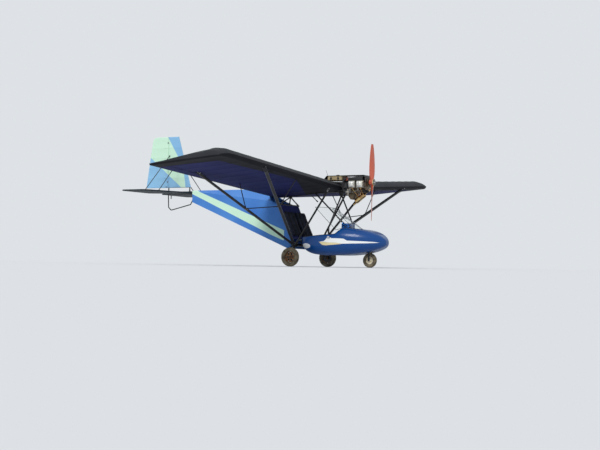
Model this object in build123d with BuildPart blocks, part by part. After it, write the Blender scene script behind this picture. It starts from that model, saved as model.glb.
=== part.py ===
"""Two-seat high-wing microlight aircraft, nose +X, left wing +Y, standing on its three wheels."""

import os
from collections import namedtuple
from math import cos, radians, sin, tan

from build123d import *

# Driving dimensions in millimetres. Stations count aft from the nose tip, heights up from the ground.
# Tail
RUDDER_HINGE_STATION = 5310
RUDDER_FOOT_CHORD = 570
RUDDER_HEAD_CHORD = 398
FIN_FOOT_CHORD = 614
FIN_HEAD_CHORD = 279
FIN_ABOVE_BOOM = 120
FIN_HEIGHT = 1118
TAIL_THICKNESS = 28
TAIL_CORNER_RADIUS = 110
ELEVATOR_HINGE_STATION = 5246
ELEVATOR_CHORD = 390
TAILPLANE_ROOT_CHORD = 610
TAILPLANE_TIP_CHORD = 215
TAILPLANE_HALF_SPAN = 1257
ELEVATOR_GAP_AT_HINGE = 62
ELEVATOR_GAP_AT_EDGE = 250

# Hinges of the control surfaces
HINGE_NOSE_RADIUS = 13
HINGE_COVE_GAP = 6
HINGE_PIN_RADIUS = 4
HINGE_PIN_CLEARANCE = 0.05
HINGE_LUG_HEIGHT = 20
HINGE_LUG_THICKNESS = 14
HINGE_NOTCH_HEIGHT = 32
HINGE_PIN_LENGTH = 76
HINGE_END_INSET = 130

# Wing
WING_SPAN = 8900
WING_CHORD = 1570
WING_THICKNESS = 182
WING_EDGE_STATION = 985
WING_EDGE_ABOVE_BOOM = 57
WING_DIHEDRAL = 4.1
WING_INCIDENCE = 4.9
WING_ROOT_GAP = 52
NOSE_DROOP = 55
EDGE_THICKNESS = 12
TIP_LENGTH = 300
AILERON_SPAN = 1140
AILERON_CHORD = 250
AILERON_END_GAP = 8
AILERON_HINGE_HEIGHT = 15
AILERON_NOSE_SLOPE = 32
FAIRING_HALF_WIDTH = 70
FAIRING_THICKNESS = 4
FAIRING_LENGTH = 930

# Boom and engine
BOOM_RADIUS = 38
BOOM_HEIGHT = 1556
BOOM_FRONT_STATION = 950
BOOM_REAR_STATION = 5296
PROPELLER_STATION = 360
PROPELLER_ABOVE_BOOM = 144
PROPELLER_DIAMETER = 1530

# Landing gear
MAIN_AXLE_STATION = 1746
MAIN_TRACK = 1616
MAIN_TYRE_RADIUS = 190
MAIN_TYRE_WIDTH = 104
MAIN_RIM_RADIUS = 108
AXLE_BLOCK_INSET = 92
NOSE_WHEEL_STATION = 379
NOSE_TYRE_RADIUS = 145
NOSE_TYRE_WIDTH = 84
NOSE_RIM_RADIUS = 74
WHEEL_AXLE_RADIUS = 10
WHEEL_BORE_CLEARANCE = 0.05
STEER_POST_RADIUS = 14

# Pod, seats and rear fuselage
POD_WALL = 8
SEAT_CLEARANCE = 0.3
COVER_WALL = 6
COVER_REAR_STATION = 4599
RIDGE_CLEARANCE = 3
CUT_WIDTH = 2000

# Frame tubes
SOCKET_SLEEVE = 4
BEAM_STATION = 1803
BEAM_HEIGHT = 429
BEAM_RADIUS = 25
KEEL_SOCKET_REACH = 70
STRUT_BLOCK_RADIUS = 38
STRUT_BLOCK_LENGTH = 84
GUSSET_THICKNESS = 10
GUSSET_FOOT = 38
CROSS_TUBE_RADIUS = 10
HOOP_RADIUS = 11
AXLE_BLOCK_RADIUS = 24
CABANE_POST_RADIUS = 17
CABANE_PAD_HEIGHT = 580
CABANE_PAD_THICKNESS = 60
CABANE_PAD_WIDTH = 52
JURY_SHARE = 0.52

# Wheels and fork
RIM_WALL = 9
MAIN_BARREL_RADIUS = 30
MAIN_HUB_HOLES = 6
MAIN_HUB_HOLE_RADIUS = 20
FORK_TYRE_GAP = 8
FORK_ARM_THICKNESS = 8
FORK_ARM_WIDTH = 38
FORK_CROWN_BOTTOM = 298
FORK_CROWN_TOP = 314
STEER_HOUSING_BOTTOM = 320
STEER_HOUSING_TOP = 560
STEER_HOUSING_WALL = 9
FORK_CAP_GAP = 2
FORK_CAP_RISE = 20
FORK_CAP_LIP = 8
NOSE_HOLE_RADIUS = 100

# Cockpit
CONSOLE_FRONT = 766
CONSOLE_REAR = 976
CONSOLE_HALF_WIDTH = 110
CONSOLE_BOTTOM = 600
CONSOLE_HEIGHT = 880
OPENING_TOP = 1000
REAR_NOTCH_FRONT = 1540
REAR_NOTCH_HALF = 480
REAR_NOTCH_BOTTOM = 398
SCREEN_THICKNESS = 4
PAN_FRONT = 1320
PAN_REAR = 1836
PAN_HALF_WIDTH = 455
PAN_THICKNESS = 6
SEAT_OFFSET = 228
SEAT_WIDTH = 430
SQUAB_THICKNESS = 90
BACKREST_HEIGHT = 560
BACKREST_THICKNESS = 60
BACKREST_LIFT = 40
BACK_PANEL_THICKNESS = 22
BACK_PANEL_HALF = 372
BACK_TUBE_RADIUS = 15

# Engine and propeller
ENGINE_FRONT = 455
ENGINE_REAR = 770
CRANK_BELOW_PROPELLER = 45
CASE_HALF = 100
CASE_BELOW = 105
CASE_ABOVE = 95
SUMP_HALF = 70
GEARBOX_RADIUS = 78
GEARBOX_GAP = 22
GEARBOX_OVERLAP = 5
CYLINDER_STATIONS = (510, 686)
BARREL_LENGTH = 96
BARREL_RADIUS = 52
BARREL_FINS = 7
FIRST_FIN = 12
FIN_PITCH = 12
FIN_THICKNESS = 5
FIN_DEPTH = 14
HEAD_LENGTH = 58
HEAD_SIDE = 126
MOUNT_PLATE = 10
MOUNT_RADIUS = 17
MOUNT_OFFSET = 70
MUFFLER_RADIUS = 52
TAILPIPE_RADIUS = 20
EXHAUST_PORT = 215
EXHAUST_RADIUS = 16
EXHAUST_STUB = 30
COWL_THICKNESS = 5
COWL_HALF_WIDTH = 165
COWL_ABOVE_PROPELLER = 138
COWL_FRONT = 434
COWL_NOTCH_GAP = 8
COWL_POST_OFFSET = 62
COWL_POST_RADIUS = 9
TANK_FRONT = 960
TANK_REAR = 1290
TANK_HALF_WIDTH = 150
TANK_DEPTH = 92
AIR_BOX_HALF_WIDTH = 110
AIR_BOX_DEPTH = 66
PROPELLER_SHAFT_RADIUS = 22
SHAFT_LENGTH = 90
HUB_RADIUS = 58
HUB_HALF = 40
FLANGE_THICKNESS = 12
FLANGE_PITCH_RADIUS = 40
FLANGE_BOLTS = 6
FLANGE_HOLE_RADIUS = 4

tailplane_height = BOOM_HEIGHT
fin_foot = BOOM_HEIGHT + FIN_ABOVE_BOOM
fin_head = fin_foot + FIN_HEIGHT
propeller_height = BOOM_HEIGHT + PROPELLER_ABOVE_BOOM
crank_height = propeller_height - CRANK_BELOW_PROPELLER
cowl_top = propeller_height + COWL_ABOVE_PROPELLER
overall_length = RUDDER_HINGE_STATION + RUDDER_FOOT_CHORD
origin_station = overall_length / 2
half_track = MAIN_TRACK / 2
chord_dir = Vector(
    -cos(radians(WING_INCIDENCE)),
    sin(radians(WING_INCIDENCE)) * sin(radians(WING_DIHEDRAL)),
    -sin(radians(WING_INCIDENCE)) * cos(radians(WING_DIHEDRAL)),
)
span_dir = Vector(0, cos(radians(WING_DIHEDRAL)), sin(radians(WING_DIHEDRAL)))


def x_of(station):
    """Give the x of a station."""
    return origin_station - station


def spot(station, y, height):
    """Give the point at a station, a distance to the left and a height."""
    return Vector(x_of(station), y, height)


def other_side(point, side):
    """Give the point itself for side 1, or its mirror on the right for side -1."""
    return Vector(point.X, point.Y * side, point.Z)


# The wing's own plane: x aft along the chord, y up through the thickness, z out along the span
wing_plane = Plane(
    origin=spot(WING_EDGE_STATION, WING_ROOT_GAP, BOOM_HEIGHT + WING_EDGE_ABOVE_BOOM - NOSE_DROOP),
    x_dir=chord_dir,
    z_dir=span_dir,
)


def on_wing(aft, up, out):
    """Give the point of the left wing at a distance aft, above its underside and out from its root."""
    return wing_plane.from_local_coords(Vector(aft, up, out))


# Each tube of the frame, given for the centre or the left side, with what its ends plug into
Tube = namedtuple("Tube", "node radius foot_on foot foot_reach head_on head head_reach")

STRUT_FOOT = spot(BEAM_STATION, 551, BEAM_HEIGHT)
CABANE_SIDE_FOOT = spot(BEAM_STATION, 505, BEAM_HEIGHT)
CABANE_SIDE_HEAD = on_wing(110, 8, 350)
FRONT_STRUT_HEAD = on_wing(50, 20, 3040)
REAR_STRUT_HEAD = on_wing(1265, 8, 3390)
FRONT_STRUT_MIDDLE = STRUT_FOOT + (FRONT_STRUT_HEAD - STRUT_FOOT) * JURY_SHARE
REAR_STRUT_MIDDLE = STRUT_FOOT + (REAR_STRUT_HEAD - STRUT_FOOT) * JURY_SHARE
FRONT_JURY_HEAD = on_wing(120, 8, 1700)
REAR_JURY_HEAD = on_wing(1265, 8, 1900)
CABANE_APEX = spot(1030, 0, BOOM_HEIGHT - 101)
CABANE_FOOT = spot(1010, 588, 780)
SEAT_BACK_TOP = spot(2236, 400, BOOM_HEIGHT - 294)
SEAT_BACK_FOOT = spot(1925, 430, 560)
CONSOLE_TOP = spot(940, 0, 850)
STAY_APEX = spot(2210, 0, BOOM_HEIGHT - 124)
BOOM_AT_DIAGONAL = spot(1690, 0, BOOM_HEIGHT)
TAIL_STRUT_FOOT_REAR = spot(ELEVATOR_HINGE_STATION - 41, TAILPLANE_HALF_SPAN - 272, tailplane_height)
TAIL_STRUT_FOOT_FRONT = spot(ELEVATOR_HINGE_STATION - 316, TAILPLANE_HALF_SPAN - 387, tailplane_height)
TAIL_STRUT_HEAD_REAR = spot(RUDDER_HINGE_STATION - 48, 0, fin_foot + 714)
TAIL_STRUT_HEAD_FRONT = spot(RUDDER_HINGE_STATION - 310, 0, fin_foot + 624)
AXLE_BLOCK = spot(MAIN_AXLE_STATION, half_track - AXLE_BLOCK_INSET, MAIN_TYRE_RADIUS)

TUBES = (
    Tube("front_struts", 30, "gear_frame", STRUT_FOOT, 160, "wing", FRONT_STRUT_HEAD, 150),
    Tube("rear_struts", 25, "gear_frame", STRUT_FOOT, 160, "wing", REAR_STRUT_HEAD, 100),
    Tube("gear_legs", 21, "gear_frame", STRUT_FOOT, 80, "gear_legs", AXLE_BLOCK, 0),
    Tube("jury_struts", 9, "front_struts", FRONT_STRUT_MIDDLE, 55, "wing", FRONT_JURY_HEAD, 40),
    Tube("jury_struts", 9, "rear_struts", REAR_STRUT_MIDDLE, 50, "wing", REAR_JURY_HEAD, 40),
    Tube("jury_struts", 9, "front_struts", FRONT_STRUT_MIDDLE, 55, "rear_struts", REAR_STRUT_MIDDLE, 50),
    Tube("cabane_front", 15, "cabane_front", CABANE_FOOT, 0, "boom", CABANE_APEX, 45),
    Tube("cabane_side", 19, "gear_frame", CABANE_SIDE_FOOT, 120, "wing", CABANE_SIDE_HEAD, 80),
    Tube("cabane_centre", 15, "console", CONSOLE_TOP, 78, "boom", BOOM_AT_DIAGONAL, 80),
    Tube("seat_back_stays", 13, "seat_back", SEAT_BACK_TOP, 90, "boom", STAY_APEX, 45),
    Tube("seat_back_stays", 13, "seat_back", spot(2236, 0, SEAT_BACK_TOP.Z), 40, "boom", STAY_APEX, 40),
    Tube("tail_struts", 8, "stabiliser", TAIL_STRUT_FOOT_REAR, 40, "fin", TAIL_STRUT_HEAD_REAR, 40),
    Tube("tail_struts", 8, "stabiliser", TAIL_STRUT_FOOT_FRONT, 40, "fin", TAIL_STRUT_HEAD_FRONT, 40),
)


def rod(start, end, radius, trim_start=0, trim_end=0):
    """Add a round bar on the line from start to end, each end trimmed back."""
    direction = (end - start).normalized()
    length = (end - start).length - trim_start - trim_end
    with Locations(Plane(origin=start + direction * trim_start, z_dir=direction)):
        Cylinder(radius, length, align=(Align.CENTER, Align.CENTER, Align.MIN))


def sides_of(*points):
    """Give both sides for a piece off the centre line, and one for a piece on it."""
    return (1,) if all(abs(point.Y) < 1 for point in points) else (1, -1)


def tubes_of(node):
    """Add each tube of one node, on both sides, between its two sockets."""
    for tube in TUBES:
        if tube.node == node:
            for side in sides_of(tube.foot, tube.head):
                foot, head = other_side(tube.foot, side), other_side(tube.head, side)
                rod(foot, head, tube.radius, tube.foot_reach, tube.head_reach)


def sockets_on(carrier, left_only=False):
    """Add the sleeve at each tube end that plugs into one piece, as far as the tube's end."""
    for tube in TUBES:
        for on, near, far, reach in (
            (tube.foot_on, tube.foot, tube.head, tube.foot_reach),
            (tube.head_on, tube.head, tube.foot, tube.head_reach),
        ):
            if on == carrier:
                for side in (1,) if left_only else sides_of(near, far):
                    start, end = other_side(near, side), other_side(far, side)
                    length = (end - start).length
                    rod(start, end, tube.radius + SOCKET_SLEEVE, 0, length - reach)


def hinge_planes(origin, aft, along, distances):
    """Give one plane for each hinge: x aft, z along the hinge line."""
    return [Plane(origin=origin + along * distance, x_dir=aft, z_dir=along) for distance in distances]


def cut_hinges(planes):
    """Cut each hinge's notch and pin bore in the nose of a control surface."""
    depth = 2 * HINGE_NOSE_RADIUS + 10
    with Locations(*planes):
        Box(depth, depth, HINGE_NOTCH_HEIGHT, mode=Mode.SUBTRACT)
        Cylinder(HINGE_PIN_RADIUS + HINGE_PIN_CLEARANCE, HINGE_PIN_LENGTH + 4, mode=Mode.SUBTRACT)


def add_hinges(planes):
    """Add each hinge's lug and pin to the piece that carries a control surface."""
    reach = HINGE_NOSE_RADIUS + HINGE_COVE_GAP + 8
    with Locations(*planes):
        Box(reach, HINGE_LUG_THICKNESS, HINGE_LUG_HEIGHT, align=(Align.MAX, Align.CENTER, Align.CENTER))
        Cylinder(HINGE_LUG_THICKNESS / 2, HINGE_LUG_HEIGHT)
        Cylinder(HINGE_PIN_RADIUS, HINGE_PIN_LENGTH)


def side_plate(thickness, *outline, mode=Mode.ADD):
    """Add a plate on the centre line from a side view of stations and heights, or cut it out."""
    with BuildSketch(Plane.XZ) as side_view:
        Polygon(*((x_of(station), height) for station, height in outline), align=None)
    extrude(side_view.sketch, amount=thickness / 2, both=True, mode=mode)


def write(builder, label):
    """Label a finished piece and write it as a STEP file."""
    builder.part.label = label
    export_step(builder.part, f"parts/{label}.step")


os.makedirs("parts", exist_ok=True)

# Wing: one section of arcs and lines, full to the last rib, then drawn down to a rounded tip
aileron_hinge_aft = WING_CHORD - AILERON_CHORD
half_span_out = (WING_SPAN / 2 - WING_ROOT_GAP - WING_CHORD * chord_dir.Y) / cos(radians(WING_DIHEDRAL))
last_rib = half_span_out - TIP_LENGTH

WingSection = namedtuple("WingSection", "out thickness nose_setback")
TIP_SECTIONS = (
    WingSection(last_rib, 1, 0),
    WingSection(last_rib + 0.6 * TIP_LENGTH, 0.9, 12),
    WingSection(half_span_out, 0.62, 66),
)


def wing_outline(thickness=1, nose_setback=0):
    """Draw the wing section, its heights scaled and its nose set back from the leading edge."""

    def at(aft, height):
        return (nose_setback + aft * (1 - nose_setback / WING_CHORD), height * thickness)

    with BuildLine() as outline:
        ThreePointArc(at(0, NOSE_DROOP), at(26, 17), at(95, 0))
        Line(at(95, 0), at(WING_CHORD, 0))
        Line(at(WING_CHORD, 0), at(WING_CHORD, EDGE_THICKNESS))
        ThreePointArc(at(WING_CHORD, EDGE_THICKNESS), at(985, 0.7 * WING_THICKNESS), at(400, WING_THICKNESS))
        ThreePointArc(at(400, WING_THICKNESS), at(105, 0.8 * WING_THICKNESS), at(0, NOSE_DROOP))
    return outline.line


def wing_face(section):
    """Make the wing section as a face at its distance out from the root."""
    plane = Plane(origin=on_wing(0, 0, section.out), x_dir=chord_dir, z_dir=span_dir)
    with BuildSketch(plane) as drawn:
        with BuildLine():
            add(wing_outline(section.thickness, section.nose_setback))
        make_face()
    return drawn.sketch


with BuildPart() as whole_wing:
    extrude(wing_face(WingSection(0, 1, 0)), amount=last_rib)
    loft(sections=[wing_face(section) for section in TIP_SECTIONS], ruled=True)

aileron_outer_end = last_rib
aileron_inner_end = last_rib - AILERON_SPAN
aileron_axis_start = on_wing(aileron_hinge_aft, AILERON_HINGE_HEIGHT, 0)
aileron_hinges = hinge_planes(
    aileron_axis_start,
    chord_dir,
    span_dir,
    (
        aileron_inner_end + HINGE_END_INSET,
        (aileron_inner_end + aileron_outer_end) / 2,
        aileron_outer_end - HINGE_END_INSET,
    ),
)
bay_depth = 400
bay_start = aileron_hinge_aft - HINGE_NOSE_RADIUS - HINGE_COVE_GAP


def aileron_space(front, inner, outer):
    """Add the box behind a line on the chord and between two ends of the span."""
    plane = Plane(origin=on_wing(front, 0, inner), x_dir=chord_dir, z_dir=span_dir)
    with Locations(plane):
        return Box(
            bay_depth,
            2 * bay_depth,
            outer - inner,
            align=(Align.MIN, Align.CENTER, Align.MIN),
            mode=Mode.PRIVATE,
        )


with BuildPart() as wing_left:
    add(whole_wing.part)
    add(aileron_space(bay_start, aileron_inner_end, aileron_outer_end), mode=Mode.SUBTRACT)
    add_hinges(aileron_hinges)
    sockets_on("wing", left_only=True)

with BuildPart() as wing_right:
    mirror(wing_left.part, about=Plane.XZ)

aileron_inner = aileron_inner_end + AILERON_END_GAP
aileron_outer = aileron_outer_end - AILERON_END_GAP

with BuildPart() as aileron_left:
    add(whole_wing.part)
    space = aileron_space(aileron_hinge_aft, aileron_inner, aileron_outer)
    add(space, mode=Mode.INTERSECT)
    # The nose slopes back from the hinge line, so that it turns clear of the bay
    nose_origin = on_wing(aileron_hinge_aft, AILERON_HINGE_HEIGHT, aileron_inner)
    nose_plane = Plane(origin=nose_origin, x_dir=chord_dir, z_dir=span_dir)
    length = aileron_outer - aileron_inner
    rise = bay_depth / 4
    run = rise * tan(radians(AILERON_NOSE_SLOPE))
    with BuildSketch(nose_plane):
        Polygon((-5, HINGE_NOSE_RADIUS), (-5, rise), (run, rise), (4, HINGE_NOSE_RADIUS), align=None)
    extrude(amount=length, mode=Mode.SUBTRACT)
    with Locations(nose_plane):
        Cylinder(HINGE_NOSE_RADIUS, length, align=(Align.CENTER, Align.CENTER, Align.MIN))
    cut_hinges(aileron_hinges)

with BuildPart() as aileron_right:
    mirror(aileron_left.part, about=Plane.XZ)

# Strip that covers the gap between the two wing roots
fairing_inner = -WING_ROOT_GAP * 1.3
with BuildPart() as fairing_half:
    fairing_plane = Plane(origin=on_wing(0, 0, fairing_inner), x_dir=chord_dir, z_dir=span_dir)
    with BuildSketch(fairing_plane):
        with BuildLine():
            add(wing_outline())
        make_face()
        offset(amount=FAIRING_THICKNESS)
        with BuildLine():
            add(wing_outline())
        inner_face = make_face(mode=Mode.PRIVATE)
        offset(inner_face, amount=SEAT_CLEARANCE, mode=Mode.SUBTRACT)
        with Locations((0, NOSE_DROOP)):
            below_nose = (Align.CENTER, Align.MAX)
            Rectangle(4 * WING_CHORD, 2 * WING_THICKNESS, align=below_nose, mode=Mode.SUBTRACT)
        with Locations((FAIRING_LENGTH, 0)):
            Rectangle(WING_CHORD, 4 * WING_THICKNESS, align=(Align.MIN, Align.CENTER), mode=Mode.SUBTRACT)
    extrude(amount=FAIRING_HALF_WIDTH - fairing_inner)
    split(bisect_by=Plane.XZ, keep=Keep.BOTTOM)

with BuildPart() as wing_fairing:
    add(fairing_half.part)
    mirror(fairing_half.part, about=Plane.XZ)

for side, wing, aileron in (("left", wing_left, aileron_left), ("right", wing_right, aileron_right)):
    write(wing, f"wing_{side}")
    write(aileron, f"aileron_{side}")
write(wing_fairing, "wing_fairing")

# Boom, with the hole that the elevator's cross tube turns in
with BuildPart() as boom:
    rod(spot(BOOM_FRONT_STATION, 0, BOOM_HEIGHT), spot(BOOM_REAR_STATION, 0, BOOM_HEIGHT), BOOM_RADIUS)
    for apex in (CABANE_APEX, STAY_APEX):
        with BuildSketch(Plane.XZ) as gusset:
            Polygon(
                (apex.X + 2 * GUSSET_FOOT, BOOM_HEIGHT),
                (apex.X - 2 * GUSSET_FOOT, BOOM_HEIGHT),
                (apex.X - GUSSET_FOOT, apex.Z - GUSSET_FOOT / 2),
                (apex.X + GUSSET_FOOT, apex.Z - GUSSET_FOOT / 2),
                align=None,
            )
        extrude(amount=GUSSET_THICKNESS / 2, both=True)
    sockets_on("boom")
    with Locations(Plane(origin=spot(ELEVATOR_HINGE_STATION, 0, tailplane_height), z_dir=(0, 1, 0))):
        Cylinder(CROSS_TUBE_RADIUS + HINGE_COVE_GAP, 4 * BOOM_RADIUS, mode=Mode.SUBTRACT)
write(boom, "boom")

# Rear fuselage cover: fabric on a frame, tapering from behind the seats to the tail
CoverEnd = namedtuple("CoverEnd", "station ridge_half ridge shoulder_half shoulder bottom_half bottom")
ridge_height = BOOM_HEIGHT + BOOM_RADIUS + RIDGE_CLEARANCE + COVER_WALL
COVER_FRONT = CoverEnd(1870, 44, ridge_height, 402, SEAT_BACK_TOP.Z, 424, 302)
COVER_REAR = CoverEnd(COVER_REAR_STATION, 44, ridge_height, 84, BOOM_HEIGHT + 32, 84, BOOM_HEIGHT - 203)


def cover_face(end, inset):
    """Make the cover's section at one end, drawn in by a wall."""
    with BuildSketch(Plane(origin=spot(end.station, 0, 0), x_dir=(0, 1, 0), z_dir=(1, 0, 0))) as section:
        half = (
            (end.ridge_half - inset / 2, end.ridge - inset),
            (end.shoulder_half - inset, end.shoulder - inset / 2),
            (end.bottom_half - inset, end.bottom + inset),
        )
        Polygon(*half, *((-y, height) for y, height in reversed(half)), align=None)
    return section.sketch


with BuildPart() as cover_space:
    loft(sections=[cover_face(COVER_FRONT, COVER_WALL), cover_face(COVER_REAR, COVER_WALL)], ruled=True)
    rear_wall = Plane(origin=spot(COVER_REAR_STATION - COVER_WALL, 0, 0), z_dir=(1, 0, 0))
    split(bisect_by=rear_wall, keep=Keep.TOP)

with BuildPart() as rear_cover:
    loft(sections=[cover_face(COVER_FRONT, 0), cover_face(COVER_REAR, 0)], ruled=True)
    add(cover_space.part, mode=Mode.SUBTRACT)
    with Locations(Plane(origin=spot(COVER_REAR_STATION, 0, BOOM_HEIGHT), z_dir=(1, 0, 0))):
        Cylinder(BOOM_RADIUS + SEAT_CLEARANCE, 10 * COVER_WALL, mode=Mode.SUBTRACT)
    # The front edge slopes back from the floor to the seat back and on up to the boom
    above_ridge = ridge_height + 100
    side_plate(
        CUT_WIDTH,
        (1700, 200),
        (2010, 200),
        (2010, 352),
        (1905, 462),
        (1945, 560),
        (2258, SEAT_BACK_TOP.Z - 17),
        (2470, SEAT_BACK_TOP.Z + 83),
        (2690, BOOM_HEIGHT - 36),
        (2690, above_ridge),
        (1700, above_ridge),
        mode=Mode.SUBTRACT,
    )
write(rear_cover, "rear_cover")

# Tail: flat fabric-covered frames, each a side view or plan given a thickness
fin_rear = RUDDER_HINGE_STATION - HINGE_NOSE_RADIUS - HINGE_COVE_GAP
fin_post_radius = TAIL_THICKNESS / 2
boom_top = BOOM_HEIGHT + BOOM_RADIUS + SEAT_CLEARANCE
up = Vector(0, 0, 1)
aft = Vector(-1, 0, 0)
left = Vector(0, 1, 0)
rudder_hinges = hinge_planes(
    spot(RUDDER_HINGE_STATION, 0, 0),
    aft,
    up,
    (fin_foot + HINGE_END_INSET, (fin_foot + fin_head) / 2, fin_head - HINGE_END_INSET),
)

with BuildPart() as fin:
    side_plate(
        TAIL_THICKNESS,
        (RUDDER_HINGE_STATION - FIN_FOOT_CHORD, fin_foot),
        (RUDDER_HINGE_STATION - FIN_HEAD_CHORD, fin_head),
        (fin_rear, fin_head),
        (fin_rear, fin_foot),
    )
    rear_post = fin_rear - fin_post_radius
    front_post = RUDDER_HINGE_STATION - FIN_FOOT_CHORD + 2 * fin_post_radius
    for post in (rear_post, front_post):
        rod(spot(post, 0, boom_top), spot(post, 0, fin_foot + 60), fin_post_radius - 1)
    add_hinges(rudder_hinges)
    sockets_on("fin")
write(fin, "fin")

with BuildPart() as rudder:
    with BuildSketch(Plane.XZ) as rudder_view:
        head_corner = (x_of(RUDDER_HINGE_STATION + RUDDER_HEAD_CHORD), fin_head)
        Polygon(
            (x_of(RUDDER_HINGE_STATION), fin_foot),
            (x_of(RUDDER_HINGE_STATION), fin_head),
            head_corner,
            (x_of(RUDDER_HINGE_STATION + RUDDER_FOOT_CHORD), fin_foot),
            align=None,
        )
        fillet(rudder_view.vertices().sort_by_distance(head_corner)[0], TAIL_CORNER_RADIUS)
    extrude(amount=HINGE_NOSE_RADIUS, both=True)
    rod(spot(RUDDER_HINGE_STATION, 0, fin_foot), spot(RUDDER_HINGE_STATION, 0, fin_head), HINGE_NOSE_RADIUS)
    cut_hinges(rudder_hinges)
write(rudder, "rudder")

elevator_axis = spot(ELEVATOR_HINGE_STATION, 0, tailplane_height)
outer_hinge = TAILPLANE_HALF_SPAN - HINGE_END_INSET
inner_hinge = ELEVATOR_GAP_AT_HINGE + HINGE_END_INSET
elevator_hinges = hinge_planes(
    elevator_axis,
    aft,
    left,
    [
        side * y
        for side in (1, -1)
        for y in (inner_hinge, (inner_hinge + outer_hinge) / 2, outer_hinge)
    ],
)
stabiliser_rear = ELEVATOR_HINGE_STATION - HINGE_NOSE_RADIUS - HINGE_COVE_GAP
tail_level = Plane(origin=(0, 0, tailplane_height))


def plan_plate(thickness, outline, corner, corner_radius):
    """Add a level plate from a plan of stations and distances left, one corner rounded."""
    with BuildSketch(tail_level) as plan:
        Polygon(*((x_of(station), y) for station, y in outline), align=None)
        corners = plan.vertices().sort_by_distance((x_of(corner[0]), corner[1]))
        fillet(corners[0], corner_radius)
    extrude(plan.sketch, amount=thickness / 2, both=True)


with BuildPart() as stabiliser_half:
    root_y = BOOM_RADIUS + SEAT_CLEARANCE
    tip_corner = (stabiliser_rear - TAILPLANE_TIP_CHORD, TAILPLANE_HALF_SPAN)
    plan_plate(
        TAIL_THICKNESS,
        (
            (stabiliser_rear - TAILPLANE_ROOT_CHORD, root_y),
            tip_corner,
            (stabiliser_rear, TAILPLANE_HALF_SPAN),
            (stabiliser_rear, root_y),
        ),
        tip_corner,
        TAIL_CORNER_RADIUS,
    )
with BuildPart() as stabiliser:
    add(stabiliser_half.part)
    mirror(stabiliser_half.part, about=Plane.XZ)
    add_hinges(elevator_hinges)
    sockets_on("stabiliser")
write(stabiliser, "stabiliser")

with BuildPart() as elevator_half:
    elevator_edge = ELEVATOR_HINGE_STATION + ELEVATOR_CHORD
    plan_plate(
        2 * HINGE_NOSE_RADIUS,
        (
            (ELEVATOR_HINGE_STATION, ELEVATOR_GAP_AT_HINGE),
            (ELEVATOR_HINGE_STATION, TAILPLANE_HALF_SPAN),
            (elevator_edge, TAILPLANE_HALF_SPAN),
            (elevator_edge, ELEVATOR_GAP_AT_EDGE),
        ),
        (elevator_edge, TAILPLANE_HALF_SPAN),
        TAIL_CORNER_RADIUS,
    )
    nose_start = elevator_axis + left * ELEVATOR_GAP_AT_HINGE
    rod(nose_start, elevator_axis + left * TAILPLANE_HALF_SPAN, HINGE_NOSE_RADIUS)
with BuildPart() as elevator:
    add(elevator_half.part)
    mirror(elevator_half.part, about=Plane.XZ)
    cross_reach = ELEVATOR_GAP_AT_HINGE + 30
    rod(elevator_axis - left * cross_reach, elevator_axis + left * cross_reach, CROSS_TUBE_RADIUS)
    cut_hinges(elevator_hinges)
write(elevator, "elevator")

# Bumper hoop under the tail end of the boom, its corners given as stations and drops below the boom
HOOP_CORNERS = ((4646, 0), (4621, 116), (4694, 251), (5207, 370), (5274, 306), (5287, 0))
HOOP_CORNER_RADIUS = 45
with BuildPart() as tail_bumper:
    with BuildLine() as hoop:
        corners = [spot(station, 0, BOOM_HEIGHT - drop) for station, drop in HOOP_CORNERS]
        FilletPolyline(*corners, radius=HOOP_CORNER_RADIUS)
    with BuildSketch(Plane(origin=hoop.line @ 0, z_dir=hoop.line % 0)):
        Circle(HOOP_RADIUS)
    sweep(path=hoop.line)
    boom_length = BOOM_REAR_STATION - BOOM_FRONT_STATION
    with Locations(Plane(origin=spot(BOOM_REAR_STATION, 0, BOOM_HEIGHT), z_dir=(1, 0, 0))):
        Cylinder(BOOM_RADIUS + SEAT_CLEARANCE, boom_length, mode=Mode.SUBTRACT)
write(tail_bumper, "tail_bumper")

# Cross beam that the wing struts, gear legs and seats stand on, and the keel that runs to the nose gear
beam_centre = spot(BEAM_STATION, 0, BEAM_HEIGHT)
with BuildPart() as gear_frame:
    rod(other_side(STRUT_FOOT, -1), STRUT_FOOT, BEAM_RADIUS)
    for side in (1, -1):
        with Locations(Plane(origin=other_side(STRUT_FOOT, side), z_dir=(1, 0, 0))):
            Cylinder(STRUT_BLOCK_RADIUS, STRUT_BLOCK_LENGTH)
    rod(beam_centre, beam_centre - aft * KEEL_SOCKET_REACH, BEAM_RADIUS + SOCKET_SLEEVE)
    sockets_on("gear_frame")
write(gear_frame, "gear_frame")

steer_foot = spot(NOSE_WHEEL_STATION, 0, STEER_HOUSING_BOTTOM)
steer_head = spot(NOSE_WHEEL_STATION, 0, STEER_HOUSING_TOP)
with BuildPart() as keel:
    rod(beam_centre - aft * KEEL_SOCKET_REACH, spot(NOSE_WHEEL_STATION, 0, BEAM_HEIGHT), BEAM_RADIUS)
    rod(steer_foot, steer_head, STEER_POST_RADIUS + STEER_HOUSING_WALL)
    with Locations(steer_foot):
        Cylinder(
            STEER_POST_RADIUS + WHEEL_BORE_CLEARANCE,
            STEER_HOUSING_TOP - STEER_HOUSING_BOTTOM,
            align=(Align.CENTER, Align.CENTER, Align.MIN),
            mode=Mode.SUBTRACT,
        )
write(keel, "keel")

# Gear legs with their axles
main_hub_half = MAIN_TYRE_WIDTH / 2 - 6
axle_end = half_track + main_hub_half + 1


def on_axle(y):
    """Give the point of the main axle line at a distance to the left."""
    return spot(MAIN_AXLE_STATION, y, MAIN_TYRE_RADIUS)


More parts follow.
